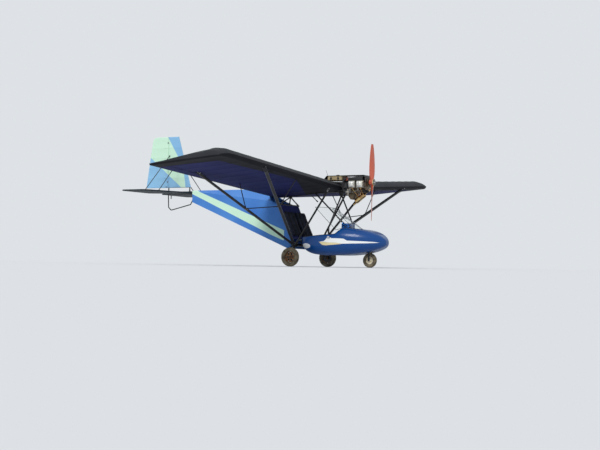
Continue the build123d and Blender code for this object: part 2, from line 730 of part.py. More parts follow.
with BuildPart() as gear_legs:
    tubes_of("gear_legs")
    for side in (1, -1):
        rod(on_axle(side * (AXLE_BLOCK.Y - 26)), on_axle(side * (AXLE_BLOCK.Y + 26)), AXLE_BLOCK_RADIUS)
        rod(on_axle(side * AXLE_BLOCK.Y), on_axle(side * (axle_end + 12)), WHEEL_AXLE_RADIUS)
        rod(on_axle(side * axle_end), on_axle(side * (axle_end + 12)), 1.7 * WHEEL_AXLE_RADIUS)
write(gear_legs, "gear_legs")


def wheel_tyre(centre, radius, width, rim_radius):
    """Add a balloon tyre around a centre, its axle along Y, its section drawn with ten flats."""
    depth = radius - rim_radius
    right_half = (
        (0.36 * width, rim_radius),
        (0.5 * width, rim_radius + 0.3 * depth),
        (0.5 * width, rim_radius + 0.62 * depth),
        (0.38 * width, rim_radius + 0.9 * depth),
        (0.18 * width, radius),
    )
    with BuildSketch(Plane(origin=centre, x_dir=(0, 1, 0), z_dir=(1, 0, 0))) as profile:
        Polygon(*right_half, *((-y, height) for y, height in reversed(right_half)), align=None)
    revolve(profile.sketch, axis=Axis(centre, (0, 1, 0)))


def wheel_hub(centre, width, rim_radius, barrel_radius, disc_thickness):
    """Add a rim, disc and bored barrel around a centre, the axle along Y."""
    with BuildSketch(Plane(origin=centre, x_dir=(0, 1, 0), z_dir=(1, 0, 0))) as profile:
        bore = WHEEL_AXLE_RADIUS + WHEEL_BORE_CLEARANCE
        for piece_width, inner, outer in (
            (0.7 * width, rim_radius - RIM_WALL, rim_radius - SEAT_CLEARANCE),
            (disc_thickness, bore, rim_radius - SEAT_CLEARANCE),
            (width, bore, barrel_radius),
        ):
            with Locations((0, (inner + outer) / 2)):
                Rectangle(piece_width, outer - inner)
    revolve(profile.sketch, axis=Axis(centre, (0, 1, 0)))


for side_name, side in (("left", 1), ("right", -1)):
    centre = spot(MAIN_AXLE_STATION, side * half_track, MAIN_TYRE_RADIUS)
    with BuildPart() as main_tyre:
        wheel_tyre(centre, MAIN_TYRE_RADIUS, MAIN_TYRE_WIDTH, MAIN_RIM_RADIUS)
    write(main_tyre, f"main_tyre_{side_name}")
    with BuildPart() as main_hub:
        wheel_hub(centre, 2 * main_hub_half, MAIN_RIM_RADIUS, MAIN_BARREL_RADIUS, 12)
        with Locations(Plane(origin=centre, x_dir=(1, 0, 0), z_dir=(0, 1, 0))):
            with PolarLocations((MAIN_RIM_RADIUS - RIM_WALL + MAIN_BARREL_RADIUS) / 2, MAIN_HUB_HOLES):
                Cylinder(MAIN_HUB_HOLE_RADIUS, 40, mode=Mode.SUBTRACT)
    write(main_hub, f"main_hub_{side_name}")

nose_centre = spot(NOSE_WHEEL_STATION, 0, NOSE_TYRE_RADIUS)
with BuildPart() as nose_tyre:
    wheel_tyre(nose_centre, NOSE_TYRE_RADIUS, NOSE_TYRE_WIDTH, NOSE_RIM_RADIUS)
write(nose_tyre, "nose_tyre")
with BuildPart() as nose_hub:
    wheel_hub(nose_centre, NOSE_TYRE_WIDTH - 10, NOSE_RIM_RADIUS, 24, 10)
write(nose_hub, "nose_hub")

# Nose fork, with its axle and the steering post that turns in the keel's housing
with BuildPart() as nose_fork:
    arm_y = NOSE_TYRE_WIDTH / 2 + FORK_TYRE_GAP + FORK_ARM_THICKNESS / 2
    for side in (1, -1):
        arm_plane = Plane(origin=nose_centre + left * (side * arm_y), x_dir=(1, 0, 0), z_dir=(0, -1, 0))
        with BuildSketch(arm_plane) as arm:
            Circle(FORK_ARM_WIDTH / 2)
            Rectangle(FORK_ARM_WIDTH, FORK_CROWN_TOP - NOSE_TYRE_RADIUS, align=(Align.CENTER, Align.MIN))
        extrude(arm.sketch, amount=FORK_ARM_THICKNESS / 2, both=True)
    crown_foot = spot(NOSE_WHEEL_STATION, 0, FORK_CROWN_BOTTOM)
    crown_width = 2 * arm_y + FORK_ARM_THICKNESS
    with Locations(crown_foot):
        on_foot = (Align.CENTER, Align.CENTER, Align.MIN)
        Box(FORK_ARM_WIDTH, crown_width, FORK_CROWN_TOP - FORK_CROWN_BOTTOM, align=on_foot)
    cap_foot = steer_head + up * FORK_CAP_GAP
    cap_top = steer_head + up * FORK_CAP_RISE
    rod(crown_foot, cap_top, STEER_POST_RADIUS)
    rod(cap_foot, cap_top, STEER_POST_RADIUS + FORK_CAP_LIP)
    rod(nose_centre - left * arm_y, nose_centre + left * arm_y, WHEEL_AXLE_RADIUS)
write(nose_fork, "nose_fork")

# Pod: a hull of rounded sections, hollow, with the cockpit cut out of its top
PodSection = namedtuple("PodSection", "station half_width bottom top corner")
POD_SECTIONS = (
    PodSection(0, 60, 462, 528, 30),
    PodSection(70, 190, 398, 612, 100),
    PodSection(240, 340, 336, 700, 165),
    PodSection(540, 490, 276, 762, 200),
    PodSection(940, 572, 240, 785, 205),
    PodSection(1350, 575, 248, 785, 205),
    PodSection(1590, 535, 316, 740, 180),
    PodSection(1666, 470, 392, 668, 125),
)


def hull(inset):
    """Make the pod's outer form, drawn in by a wall or out by a clearance."""
    faces = []
    first, last = POD_SECTIONS[0], POD_SECTIONS[-1]
    for section in POD_SECTIONS:
        shift = 3 * inset if section is first else -inset if section is last else 0
        middle = (section.bottom + section.top) / 2
        plane = Plane(origin=spot(section.station + shift, 0, middle), x_dir=(0, 1, 0), z_dir=(1, 0, 0))
        width = 2 * (section.half_width - inset)
        height = section.top - section.bottom - 2 * inset
        with BuildSketch(plane) as face:
            RectangleRounded(width, height, section.corner - inset)
        faces.append(face.sketch)
    with BuildPart() as form:
        loft(sections=faces)
    return form.part


def block(station_from, station_to, y_from, y_to, height_from, height_to, mode=Mode.ADD):
    """Add a block between two stations, two distances left and two heights."""
    with Locations(spot(station_to, y_from, height_from)):
        return Box(
            station_to - station_from,
            y_to - y_from,
            height_to - height_from,
            align=(Align.MIN, Align.MIN, Align.MIN),
            mode=mode,
        )


console_cut_half = CONSOLE_HALF_WIDTH + SEAT_CLEARANCE
with BuildPart() as pod:
    add(hull(0))
    add(hull(POD_WALL), mode=Mode.SUBTRACT)
    side_plate(
        CUT_WIDTH,
        (800, OPENING_TOP),
        (818, 735),
        (890, 655),
        (1200, 634),
        (1500, 604),
        (1760, 590),
        (1760, OPENING_TOP),
        mode=Mode.SUBTRACT,
    )
    block(
        CONSOLE_FRONT - SEAT_CLEARANCE,
        CONSOLE_REAR,
        -console_cut_half,
        console_cut_half,
        CONSOLE_BOTTOM - 40,
        OPENING_TOP,
        Mode.SUBTRACT,
    )
    block(
        REAR_NOTCH_FRONT,
        POD_SECTIONS[-1].station + 100,
        -REAR_NOTCH_HALF,
        REAR_NOTCH_HALF,
        REAR_NOTCH_BOTTOM,
        OPENING_TOP,
        Mode.SUBTRACT,
    )
    with Locations(spot(NOSE_WHEEL_STATION, 0, 200)):
        Cylinder(NOSE_HOLE_RADIUS, 180, align=(Align.CENTER, Align.CENTER, Align.MIN), mode=Mode.SUBTRACT)
    for section in (POD_SECTIONS[4], POD_SECTIONS[5]):
        block(
            section.station - 30,
            section.station + 30,
            -35,
            35,
            section.bottom + POD_WALL / 2,
            BEAM_HEIGHT - BEAM_RADIUS - SEAT_CLEARANCE,
        )
    for side in (1, -1):
        pad_y = side * (CABANE_FOOT.Y + CABANE_POST_RADIUS - CABANE_PAD_WIDTH / 2)
        with Locations(Vector(CABANE_FOOT.X, pad_y, CABANE_PAD_HEIGHT)):
            Box(60, CABANE_PAD_WIDTH, CABANE_PAD_THICKNESS, align=(Align.CENTER, Align.CENTER, Align.MIN))
write(pod, "pod")

# Instrument console, standing on the pod's deck at the front of the cockpit
with BuildPart() as console:
    half = CONSOLE_HALF_WIDTH
    block(CONSOLE_FRONT, CONSOLE_REAR, -half, half, CONSOLE_BOTTOM, CONSOLE_HEIGHT)
    fillet(console.edges().filter_by(Axis.Z), 24)
    fillet(console.faces().sort_by(Axis.Z)[-1].edges(), 14)
    sockets_on("console")
write(console, "console")

# Windscreen: one thin sheet, curved in plan and raked back
ScreenEdge = namedtuple("ScreenEdge", "height middle_station end_station half_width")
SCREEN_EDGES = (ScreenEdge(640, 390, 790, 520), ScreenEdge(1200, 1220, 1430, 380))


def screen_face(edge):
    """Make the thin curved section of the windscreen at one height."""
    with BuildSketch(Plane(origin=(0, 0, edge.height))) as section:
        with BuildLine():
            outer = ThreePointArc(
                (x_of(edge.end_station), -edge.half_width),
                (x_of(edge.middle_station), 0),
                (x_of(edge.end_station), edge.half_width),
            )
            inner_half = edge.half_width - SCREEN_THICKNESS
            inner = ThreePointArc(
                (x_of(edge.end_station), -inner_half),
                (x_of(edge.middle_station) - SCREEN_THICKNESS, 0),
                (x_of(edge.end_station), inner_half),
            )
            Line(outer @ 0, inner @ 0)
            Line(outer @ 1, inner @ 1)
        make_face()
    return section.sketch


with BuildPart() as windscreen:
    loft(sections=[screen_face(edge) for edge in SCREEN_EDGES], ruled=True)
    add(hull(-SEAT_CLEARANCE), mode=Mode.SUBTRACT)
write(windscreen, "windscreen")

# Seat pan, the two seats on it and the sloping back panel behind them
pan_bottom = BEAM_HEIGHT + BEAM_RADIUS + SOCKET_SLEEVE + SEAT_CLEARANCE
pan_top = pan_bottom + PAN_THICKNESS
with BuildPart() as seat_pan:
    block(PAN_FRONT, PAN_REAR, -PAN_HALF_WIDTH, PAN_HALF_WIDTH, pan_bottom, pan_top)
    for side in (1, -1):
        y_from, y_to = sorted((side * 60, side * PAN_HALF_WIDTH))
        block(PAN_FRONT, PAN_FRONT + PAN_THICKNESS, y_from, y_to, 290, pan_top)
write(seat_pan, "seat_pan")

back_dir = SEAT_BACK_TOP - SEAT_BACK_FOOT
back_dir = Vector(back_dir.X, 0, back_dir.Z).normalized()
back_normal = Vector(back_dir.Z, 0, -back_dir.X)
for side_name, side in (("left", 1), ("right", -1)):
    centre_y = side * SEAT_OFFSET
    with BuildPart() as squab:
        block(
            PAN_FRONT - 10,
            PAN_REAR - 90,
            centre_y - SEAT_WIDTH / 2,
            centre_y + SEAT_WIDTH / 2,
            pan_top + SEAT_CLEARANCE,
            pan_top + SQUAB_THICKNESS,
        )
        fillet(squab.edges().filter_by(Axis.Z), 40)
        fillet(squab.faces().sort_by(Axis.Z)[-1].edges(), 25)
    write(squab, f"squab_{side_name}")
    with BuildPart() as backrest:
        foot = Vector(SEAT_BACK_FOOT.X, centre_y, SEAT_BACK_FOOT.Z) + back_dir * BACKREST_LIFT
        face_middle = foot + back_normal * (BACK_PANEL_THICKNESS / 2 + SEAT_CLEARANCE)
        with BuildSketch(Plane(origin=face_middle, x_dir=(0, 1, 0), z_dir=back_normal)):
            with Locations((0, BACKREST_HEIGHT / 2)):
                RectangleRounded(SEAT_WIDTH, BACKREST_HEIGHT, 45)
        extrude(amount=BACKREST_THICKNESS)
    write(backrest, f"backrest_{side_name}")

with BuildPart() as seat_back:
    foot_centre = Vector(SEAT_BACK_FOOT.X, 0, SEAT_BACK_FOOT.Z)
    back_length = (SEAT_BACK_TOP - SEAT_BACK_FOOT).dot(back_dir)
    with BuildSketch(Plane(origin=foot_centre, x_dir=(0, 1, 0), z_dir=back_normal)):
        with Locations((0, back_length / 2)):
            Rectangle(2 * BACK_PANEL_HALF, back_length)
    extrude(amount=BACK_PANEL_THICKNESS / 2, both=True)
    rod(other_side(SEAT_BACK_TOP, -1), SEAT_BACK_TOP, BACK_TUBE_RADIUS)
    sockets_on("seat_back")
write(seat_back, "seat_back")

# Engine: crankcase, sump and reduction gearbox, the propeller shaft above the crank
gearbox_front = PROPELLER_STATION + GEARBOX_GAP + HUB_HALF
case_bottom = crank_height - CASE_BELOW
case_top = crank_height + CASE_ABOVE
with BuildPart() as engine_block:
    block(ENGINE_FRONT, ENGINE_REAR, -CASE_HALF, CASE_HALF, case_bottom, case_top)
    fillet(engine_block.edges().filter_by(Axis.X), 22)
    side_plate(
        2 * SUMP_HALF,
        (ENGINE_REAR - 130, case_bottom + 10),
        (ENGINE_REAR, case_bottom + 10),
        (ENGINE_REAR + 120, case_bottom - 60),
        (ENGINE_REAR + 25, case_bottom - 188),
        (ENGINE_REAR - 35, case_bottom - 188),
        (ENGINE_REAR - 70, case_bottom - 110),
    )
    rod(
        spot(ENGINE_FRONT + GEARBOX_OVERLAP, 0, propeller_height),
        spot(gearbox_front, 0, propeller_height),
        GEARBOX_RADIUS,
    )
    with Locations(Plane(origin=spot(gearbox_front, 0, propeller_height), z_dir=(-1, 0, 0))):
        Cylinder(
            PROPELLER_SHAFT_RADIUS + WHEEL_BORE_CLEARANCE,
            SHAFT_LENGTH,
            align=(Align.CENTER, Align.CENTER, Align.MIN),
            mode=Mode.SUBTRACT,
        )
write(engine_block, "engine_block")

# Four air-cooled cylinders, each a turned barrel with its fins under a square head
with BuildPart() as engine_cylinders:
    for station in CYLINDER_STATIONS:
        for side in (1, -1):
            root = spot(station, side * (CASE_HALF + SEAT_CLEARANCE), crank_height)
            out = left * side
            with BuildSketch(Plane(origin=root, x_dir=out, z_dir=(-side, 0, 0))) as profile:
                Rectangle(BARREL_LENGTH, BARREL_RADIUS, align=Align.MIN)
                for fin_number in range(BARREL_FINS):
                    with Locations((FIRST_FIN + fin_number * FIN_PITCH, 0)):
                        Rectangle(FIN_THICKNESS, BARREL_RADIUS + FIN_DEPTH, align=Align.MIN)
            revolve(profile.sketch, axis=Axis(root, out))
            with Locations(root + out * (BARREL_LENGTH + HEAD_LENGTH / 2)):
                Box(HEAD_SIDE, HEAD_LENGTH, HEAD_SIDE)
write(engine_cylinders, "engine_cylinders")

# Mount: a plate on the boom's nose and four tubes forward to the crankcase
with BuildPart() as engine_mount:
    plate_front = BOOM_FRONT_STATION - MOUNT_PLATE
    plate_bottom = BOOM_HEIGHT - BOOM_RADIUS - MOUNT_PLATE
    block(plate_front, BOOM_FRONT_STATION, -CASE_HALF, CASE_HALF, plate_bottom, case_top)
    for y in (-MOUNT_OFFSET, MOUNT_OFFSET):
        for height in (crank_height - MOUNT_OFFSET, crank_height + MOUNT_OFFSET):
            rod(spot(ENGINE_REAR, y, height), spot(plate_front, y, height), MOUNT_RADIUS)
write(engine_mount, "engine_mount")

# Exhaust: a stub from under each head to one sloping silencer with its tailpipe
muffler_front = spot(515, 0, propeller_height - 235)
muffler_rear = spot(705, 0, propeller_height - 378)
muffler_run = (muffler_rear - muffler_front).normalized()
with BuildPart() as exhaust:
    rod(muffler_front, muffler_rear, MUFFLER_RADIUS)
    fillet(exhaust.edges(), 12)
    tailpipe_end = muffler_rear + muffler_run * 60 - up * 25
    rod(muffler_rear - muffler_run * 20 - up * 20, tailpipe_end, TAILPIPE_RADIUS)
    for station, share in zip(CYLINDER_STATIONS, (0.2, 0.6)):
        for side in (1, -1):
            port = spot(station, side * EXHAUST_PORT, crank_height - HEAD_SIDE / 2 - SEAT_CLEARANCE)
            elbow = port - up * EXHAUST_STUB
            rod(port, elbow, EXHAUST_RADIUS)
            rod(elbow, muffler_front + (muffler_rear - muffler_front) * share, EXHAUST_RADIUS)
write(exhaust, "exhaust")

# Plate over the engine on four posts, folded down at the front and sloping to the wing at the rear
with BuildPart() as engine_cowl:
    with BuildSketch(Plane.XZ):
        with BuildLine():
            folds = (
                (COWL_FRONT, cowl_top - 156),
                (COWL_FRONT + 5, cowl_top - 18),
                (COWL_FRONT + 30, cowl_top),
                (TANK_REAR, cowl_top),
                (TANK_REAR + 110, cowl_top - 122),
            )
            Polyline(*((x_of(station), height) for station, height in folds))
            offset(amount=COWL_THICKNESS, side=Side.RIGHT, closed=True)
        make_face()
    extrude(amount=COWL_HALF_WIDTH, both=True)
    with Locations(Plane(origin=spot(gearbox_front, 0, propeller_height), z_dir=(-1, 0, 0))):
        Cylinder(GEARBOX_RADIUS + COWL_NOTCH_GAP, 2 * GEARBOX_RADIUS, mode=Mode.SUBTRACT)
    for station in CYLINDER_STATIONS:
        for y in (-COWL_POST_OFFSET, COWL_POST_OFFSET):
            rod(spot(station, y, case_top + SEAT_CLEARANCE), spot(station, y, cowl_top), COWL_POST_RADIUS)
write(engine_cowl, "engine_cowl")

# Fuel tank slung under the plate, behind the engine, and the air box on the upper mount tubes
with BuildPart() as fuel_tank:
    tank_top = cowl_top - SEAT_CLEARANCE
    block(TANK_FRONT, TANK_REAR, -TANK_HALF_WIDTH, TANK_HALF_WIDTH, tank_top - TANK_DEPTH, tank_top)
    fillet(fuel_tank.edges().filter_by(Axis.Z), 40)
    fillet(fuel_tank.faces().sort_by(Axis.Z)[0].edges(), 25)
write(fuel_tank, "fuel_tank")

with BuildPart() as air_box:
    box_bottom = crank_height + MOUNT_OFFSET + MOUNT_RADIUS + SEAT_CLEARANCE
    block(
        ENGINE_REAR + 20,
        plate_front - 10,
        -AIR_BOX_HALF_WIDTH,
        AIR_BOX_HALF_WIDTH,
        box_bottom,
        box_bottom + AIR_BOX_DEPTH,
    )
    fillet(air_box.edges().filter_by(Axis.Z), 22)
    fillet(air_box.faces().sort_by(Axis.Z)[-1].edges(), 14)
write(air_box, "air_box")

# Propeller: one twisted blade section table, used for both blades
BladeSection = namedtuple("BladeSection", "radius chord thickness pitch")
BLADE_SECTIONS = (
    BladeSection(40, 72, 52, 60),
    BladeSection(160, 112, 34, 42),
    BladeSection(380, 136, 20, 26),
    BladeSection(620, 112, 13, 18),
    BladeSection(PROPELLER_DIAMETER / 2, 64, 7, 14),
)
propeller_centre = spot(PROPELLER_STATION, 0, propeller_height)


def blade_face(section):
    """Make one section of the upper blade, flat behind and curved in front."""
    pitch = radians(section.pitch)
    plane = Plane(
        origin=propeller_centre + up * section.radius, x_dir=Vector(sin(pitch), cos(pitch), 0), z_dir=up
    )
    half = section.chord / 2
    with BuildSketch(plane) as face:
        with BuildLine():
            ThreePointArc((-half, 0), (0, -0.7 * section.thickness), (half, 0))
            ThreePointArc((half, 0), (0, 0.3 * section.thickness), (-half, 0))
        make_face()
    return face.sketch


with BuildPart() as propeller:
    loft(sections=[blade_face(section) for section in BLADE_SECTIONS])
    add(propeller.part.rotate(Axis(propeller_centre, (1, 0, 0)), 180))
    rod(propeller_centre - aft * HUB_HALF, propeller_centre + aft * HUB_HALF, HUB_RADIUS)
write(propeller, "propeller")

with BuildPart() as propeller_flange:
    front_face = propeller_centre - aft * HUB_HALF
    rear_face = propeller_centre + aft * HUB_HALF
    rod(front_face, front_face - aft * FLANGE_THICKNESS, HUB_RADIUS + 4)
    with Locations(Plane(origin=front_face - aft * (FLANGE_THICKNESS / 2), z_dir=(1, 0, 0))):
        with PolarLocations(FLANGE_PITCH_RADIUS, FLANGE_BOLTS):
            Cylinder(FLANGE_HOLE_RADIUS, FLANGE_THICKNESS, mode=Mode.SUBTRACT)
    rod(rear_face, rear_face + aft * FLANGE_THICKNESS, HUB_RADIUS + 4)
    rod(rear_face, rear_face + aft * (SHAFT_LENGTH - 5), PROPELLER_SHAFT_RADIUS)
write(propeller_flange, "propeller_flange")

# Struts and cabane tubes from the table of tubes
with BuildPart() as front_struts:
    tubes_of("front_struts")
    sockets_on("front_struts")
write(front_struts, "front_struts")
with BuildPart() as rear_struts:
    tubes_of("rear_struts")
    sockets_on("rear_struts")
write(rear_struts, "rear_struts")
with BuildPart() as cabane_front:
    tubes_of("cabane_front")
    for side in (1, -1):
        foot = other_side(CABANE_FOOT, side)
        rod(Vector(foot.X, foot.Y, CABANE_PAD_HEIGHT + CABANE_PAD_THICKNESS), foot, CABANE_POST_RADIUS)
write(cabane_front, "cabane_front")
for node in ("jury_struts", "cabane_side", "cabane_centre", "seat_back_stays", "tail_struts"):
    with BuildPart() as tubes:
        tubes_of(node)
    write(tubes, node)
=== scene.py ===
"""Looks of a two-seat high-wing microlight aircraft, parked on its three wheels. Metres, nose +X, left +Y."""

import math

import bmesh
import bpy
from mathutils import Matrix, Vector
from mathutils.bvhtree import BVHTree


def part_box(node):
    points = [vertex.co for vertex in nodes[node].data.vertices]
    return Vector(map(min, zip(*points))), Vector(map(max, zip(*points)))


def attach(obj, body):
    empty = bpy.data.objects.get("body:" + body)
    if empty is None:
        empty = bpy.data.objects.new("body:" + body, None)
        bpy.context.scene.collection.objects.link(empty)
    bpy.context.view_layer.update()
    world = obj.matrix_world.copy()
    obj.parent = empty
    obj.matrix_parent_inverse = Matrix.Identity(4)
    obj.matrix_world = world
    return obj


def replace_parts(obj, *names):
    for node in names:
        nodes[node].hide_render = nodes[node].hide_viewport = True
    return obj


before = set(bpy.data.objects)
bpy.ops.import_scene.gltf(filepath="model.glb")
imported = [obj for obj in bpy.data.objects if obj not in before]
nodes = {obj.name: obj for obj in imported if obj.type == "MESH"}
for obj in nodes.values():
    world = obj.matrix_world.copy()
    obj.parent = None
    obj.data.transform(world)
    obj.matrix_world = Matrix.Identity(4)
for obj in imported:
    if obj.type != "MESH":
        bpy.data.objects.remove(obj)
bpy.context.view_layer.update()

# Studio: a wide pale floor under a pale even light, with a soft key lamp from ahead of the right wing.
# The camera lies on the floor, far out to the right of the nose, and looks a little up.
FLOOR_RADIUS = 400
FLOOR_SIDES = 96
CAMERA_DISTANCE = 24
CAMERA_HEIGHT = 0.05
CAMERA_BEARING = -61.665
CAMERA_YAW = -61.179
CAMERA_PITCH = -1.911
CAMERA_ROLL = 0.901
CAMERA_FOCUS_IN_PIXELS = 1173
CAMERA_REACH = 1000
PICTURE_WIDTH = 600
FILL_STRENGTH = 0.62


def seen(red, green, blue):
    """Turn a colour as it is seen, each part 0 to 255, into the shader's values."""
    parts = (part / 255 for part in (red, green, blue))
    return (*(p / 12.92 if p < 0.04 else ((p + 0.055) / 1.055) ** 2.4 for p in parts), 1)


def add_object(name, data):
    """Put an object in the scene."""
    added = bpy.data.objects.new(name, data)
    bpy.context.collection.objects.link(added)
    return added


def add_mesh(name, mesh):
    """Turn a bmesh into an object in the scene."""
    data = bpy.data.meshes.new(name)
    mesh.to_mesh(data)
    mesh.free()
    return add_object(name, data)


def supply(owner, inlet, source):
    """Give an inlet in a finish or the world a plain value or another step's outlet."""
    if isinstance(source, bpy.types.NodeSocket):
        owner.node_tree.links.new(source, inlet)
    else:
        inlet.default_value = source


def feed(finish, name, source):
    """Supply one inlet of the finish's shader."""
    supply(finish, finish.node_tree.nodes["Principled BSDF"].inputs[name], source)


def start_finish(name, colour, roughness, metallic=0, coat=0):
    """Start a finish from the plain values of its shader."""
    finish = bpy.data.materials.new(name)
    finish.use_nodes = True
    feed(finish, "Base Color", colour)
    feed(finish, "Roughness", roughness)
    feed(finish, "Metallic", metallic)
    feed(finish, "Coat Weight", coat)
    return finish


def step(owner, kind, inputs=None, **settings):
    """Add one step to a finish or the world: its settings, then its inputs, each a value or an outlet."""
    made = owner.node_tree.nodes.new("ShaderNode" + kind)
    for name, value in settings.items():
        setattr(made, name, value)
    for name, source in (inputs or {}).items():
        supply(owner, made.inputs[name], source)
    return made


bearing, yaw, pitch, roll = (
    math.radians(angle) for angle in (CAMERA_BEARING, CAMERA_YAW, CAMERA_PITCH, CAMERA_ROLL)
)
wheel_low, wheel_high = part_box("main_tyre_left")
axle_x = (wheel_low.x + wheel_high.x) / 2
camera = add_object("camera", bpy.data.cameras.new("camera"))
camera.location = (
    axle_x + CAMERA_DISTANCE * math.cos(bearing), CAMERA_DISTANCE * math.sin(bearing), CAMERA_HEIGHT,
)
backward = Vector((math.cos(pitch) * math.cos(yaw), math.cos(pitch) * math.sin(yaw), math.sin(pitch)))
level_right = Vector((-math.sin(yaw), math.cos(yaw), 0))
picture_up = backward.cross(level_right)
right = level_right * math.cos(roll) + picture_up * math.sin(roll)
up = picture_up * math.cos(roll) - level_right * math.sin(roll)
camera.rotation_euler = Matrix((right, up, backward)).transposed().to_euler()
camera.data.sensor_width = 36
camera.data.lens = CAMERA_FOCUS_IN_PIXELS * camera.data.sensor_width / PICTURE_WIDTH
camera.data.clip_end = CAMERA_REACH
bpy.context.scene.camera = camera
bpy.context.scene.view_settings.view_transform = "Standard"

floor_mesh = bmesh.new()
bmesh.ops.create_circle(floor_mesh, cap_ends=True, segments=FLOOR_SIDES, radius=FLOOR_RADIUS)
floor = add_mesh("floor", floor_mesh)
floor_paint = start_finish("floor_paint", seen(232, 231, 228), 1)
feed(floor_paint, "Specular IOR Level", 0)
floor.data.materials.append(floor_paint)

world = bpy.data.worlds.new("studio")
bpy.context.scene.world = world
world.use_nodes = True
backdrop = world.node_tree.nodes["Background"]
backdrop.inputs["Color"].default_value = seen(222, 226, 230)
backdrop.inputs["Strength"].default_value = 1
fill = step(world, "Background", {"Color": seen(225, 235, 250), "Strength": FILL_STRENGTH})
rays = step(world, "LightPath").outputs
shown = rays["Is Camera Ray"]
for kind in ("Is Glossy Ray", "Is Transmission Ray"):
    shown = step(world, "Math", {0: shown, 1: rays[kind]}, operation="MAXIMUM").outputs[0]
choice = step(world, "MixShader", {0: shown, 1: fill.outputs[0], 2: backdrop.outputs[0]})
supply(world, world.node_tree.nodes["World Output"].inputs["Surface"], choice.outputs[0])


def hang_sun(name, place, strength, softness, colour):
    """Hang a soft distant lamp that shines from a direction on the middle of the floor."""
    lamp = add_object(name, bpy.data.lights.new(name, "SUN"))
    lamp.location = place
    lamp.rotation_euler = Vector(place).to_track_quat("Z", "Y").to_euler()
    lamp.data.energy = strength
    lamp.data.angle = math.radians(softness)
    lamp.data.color = colour


hang_sun("key_lamp", (3, -12, 10), 1.7, 24, (1, 0.98, 0.95))
hang_sun("rim_lamp", (-10, 4, 8), 0.5, 30, (0.95, 0.97, 1))

# Frame: aluminium tube, welded or bolted, powder coated black. The same coat is on every strut and stay.
TUBE_BLACK = seen(20, 21, 23)
TUBE_WORN = seen(38, 39, 42)


def noise_of(finish, scale, detail=3):
    """Give the outlet of a soft noise on the piece's own place, at a scale in cycles per metre."""
    place = step(finish, "TexCoord").outputs["Object"]
    return step(finish, "TexNoise", {"Vector": place, "Scale": scale, "Detail": detail}).outputs["Fac"]


def spread(finish, value, low, high, first=0, last=1):
    """Spread a value that runs from low to high over the range from first to last."""
    ranged = {"Value": value, "From Min": low, "From Max": high, "To Min": first, "To Max": last}
    return step(finish, "MapRange", ranged).outputs[0]


def mix_tones(finish, share, first, second):
    """Mix two colours, or two colour outlets, by a share from 0 to 1, and give the outlet."""
    return step(finish, "MixRGB", {"Fac": share, "Color1": first, "Color2": second}).outputs["Color"]


def mottle(finish, darker, lighter, scale, low=0.35, high=0.65):
    """Vary the colour softly between two tones."""
    share = spread(finish, noise_of(finish, scale), low, high)
    feed(finish, "Base Color", mix_tones(finish, share, darker, lighter))


def vary_gloss(finish, scale, smooth, rough):
    """Vary the roughness between two values."""
    feed(finish, "Roughness", spread(finish, noise_of(finish, scale), 0.3, 0.7, smooth, rough))


def raise_bumps(finish, height, depth, strength=1):
    """Raise the surface by a height's outlet, to a depth in metres."""
    bump = step(finish, "Bump", {"Height": height, "Distance": depth, "Strength": strength})
    feed(finish, "Normal", bump.outputs[0])


def raise_grain(finish, scale, depth):
    """Raise a fine grain on the surface, its depth in metres."""
    raise_bumps(finish, noise_of(finish, scale, 2), depth)


def dress(node, finish):
    """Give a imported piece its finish."""
    nodes[node].data.materials.clear()
    nodes[node].data.materials.append(finish)


powder_coat = start_finish("powder_coat", TUBE_BLACK, 0.38)
mottle(powder_coat, TUBE_BLACK, TUBE_WORN, 9, low=0.45, high=0.8)
vary_gloss(powder_coat, 25, 0.3, 0.5)
raise_grain(powder_coat, 900, 0.00008)
for tube in (
    "gear_frame", "keel", "gear_legs", "nose_fork", "boom", "front_struts", "rear_struts", "jury_struts",
    "cabane_front", "cabane_side", "cabane_centre", "seat_back_stays", "tail_struts", "tail_bumper",
    "engine_mount",
):
    dress(tube, powder_coat)

# Wing covers: heavy polyester sailcloth, sewn as a sock and drawn over ribs, with a taped seam on every rib.
# Below, the nose and the tip are near black and the rest is navy. The top is charcoal.
CHORD = 1.57
THICKNESS = 0.182
NOSE_HEIGHT = 0.055
EDGE_HEIGHT = 0.012
WING_ROOT = Vector((1.955, 0.052, 1.558))
INCIDENCE = math.radians(4.9)
DIHEDRAL = math.radians(4.1)
LAST_RIB = 4.0997
TIP_FORMS = (
    (LAST_RIB, 1, 0), (4.2797, 0.9, 0.012), (4.3997, 0.62, 0.066), (4.408, 0.54, 0.08), (4.413, 0.42, 0.1),
    (4.416, 0.26, 0.13),
)
BAYS = 11
TAPE_HALF = 0.014
TAPE_PROUD = 0.0014
RIB_PROUD = 0.006
BAY_PROUD = 0.0015
AILERON_BAY = (1.303, 2.9617, 4.0977)
AILERON_SKIN = (1.35, 2.9677, 4.0917)
NOSE_LINE = ((0.19, 1.7), (0.355, 3.963))
# The inboard wedge cut off by this line is painted shadow, near black like the nose.
SHADOW_WEDGE_LINE = ((0.124, 1.739), (0.824, 0.042))
TIP_LINE = ((0, 4.06), (CHORD, 4.16))
CLOTH_SHINE = 0.15


def circle_through(first, middle, last):
    """Give the centre of the circle through three points, and the angle from the first to the last."""
    a, b, c = (Vector(point) for point in (first, middle, last))
    ab, ac = b - a, c - a
    cross = 2 * (ab.x * ac.y - ab.y * ac.x)
    ab_square, ac_square = ab.length_squared, ac.length_squared
    centre = a + Vector((ac.y * ab_square - ab.y * ac_square, ab.x * ac_square - ac.x * ab_square)) / cross
    turn = math.remainder(math.atan2(*(c - centre).yx) - math.atan2(*(a - centre).yx), math.tau)
    if (turn > 0) != (cross > 0):
        turn -= math.copysign(math.tau, turn)
    return centre, turn


def verts_of(items):
    """Give the vertices among the items that an operator hands back."""
    return [item for item in items if isinstance(item, bmesh.types.BMVert)]


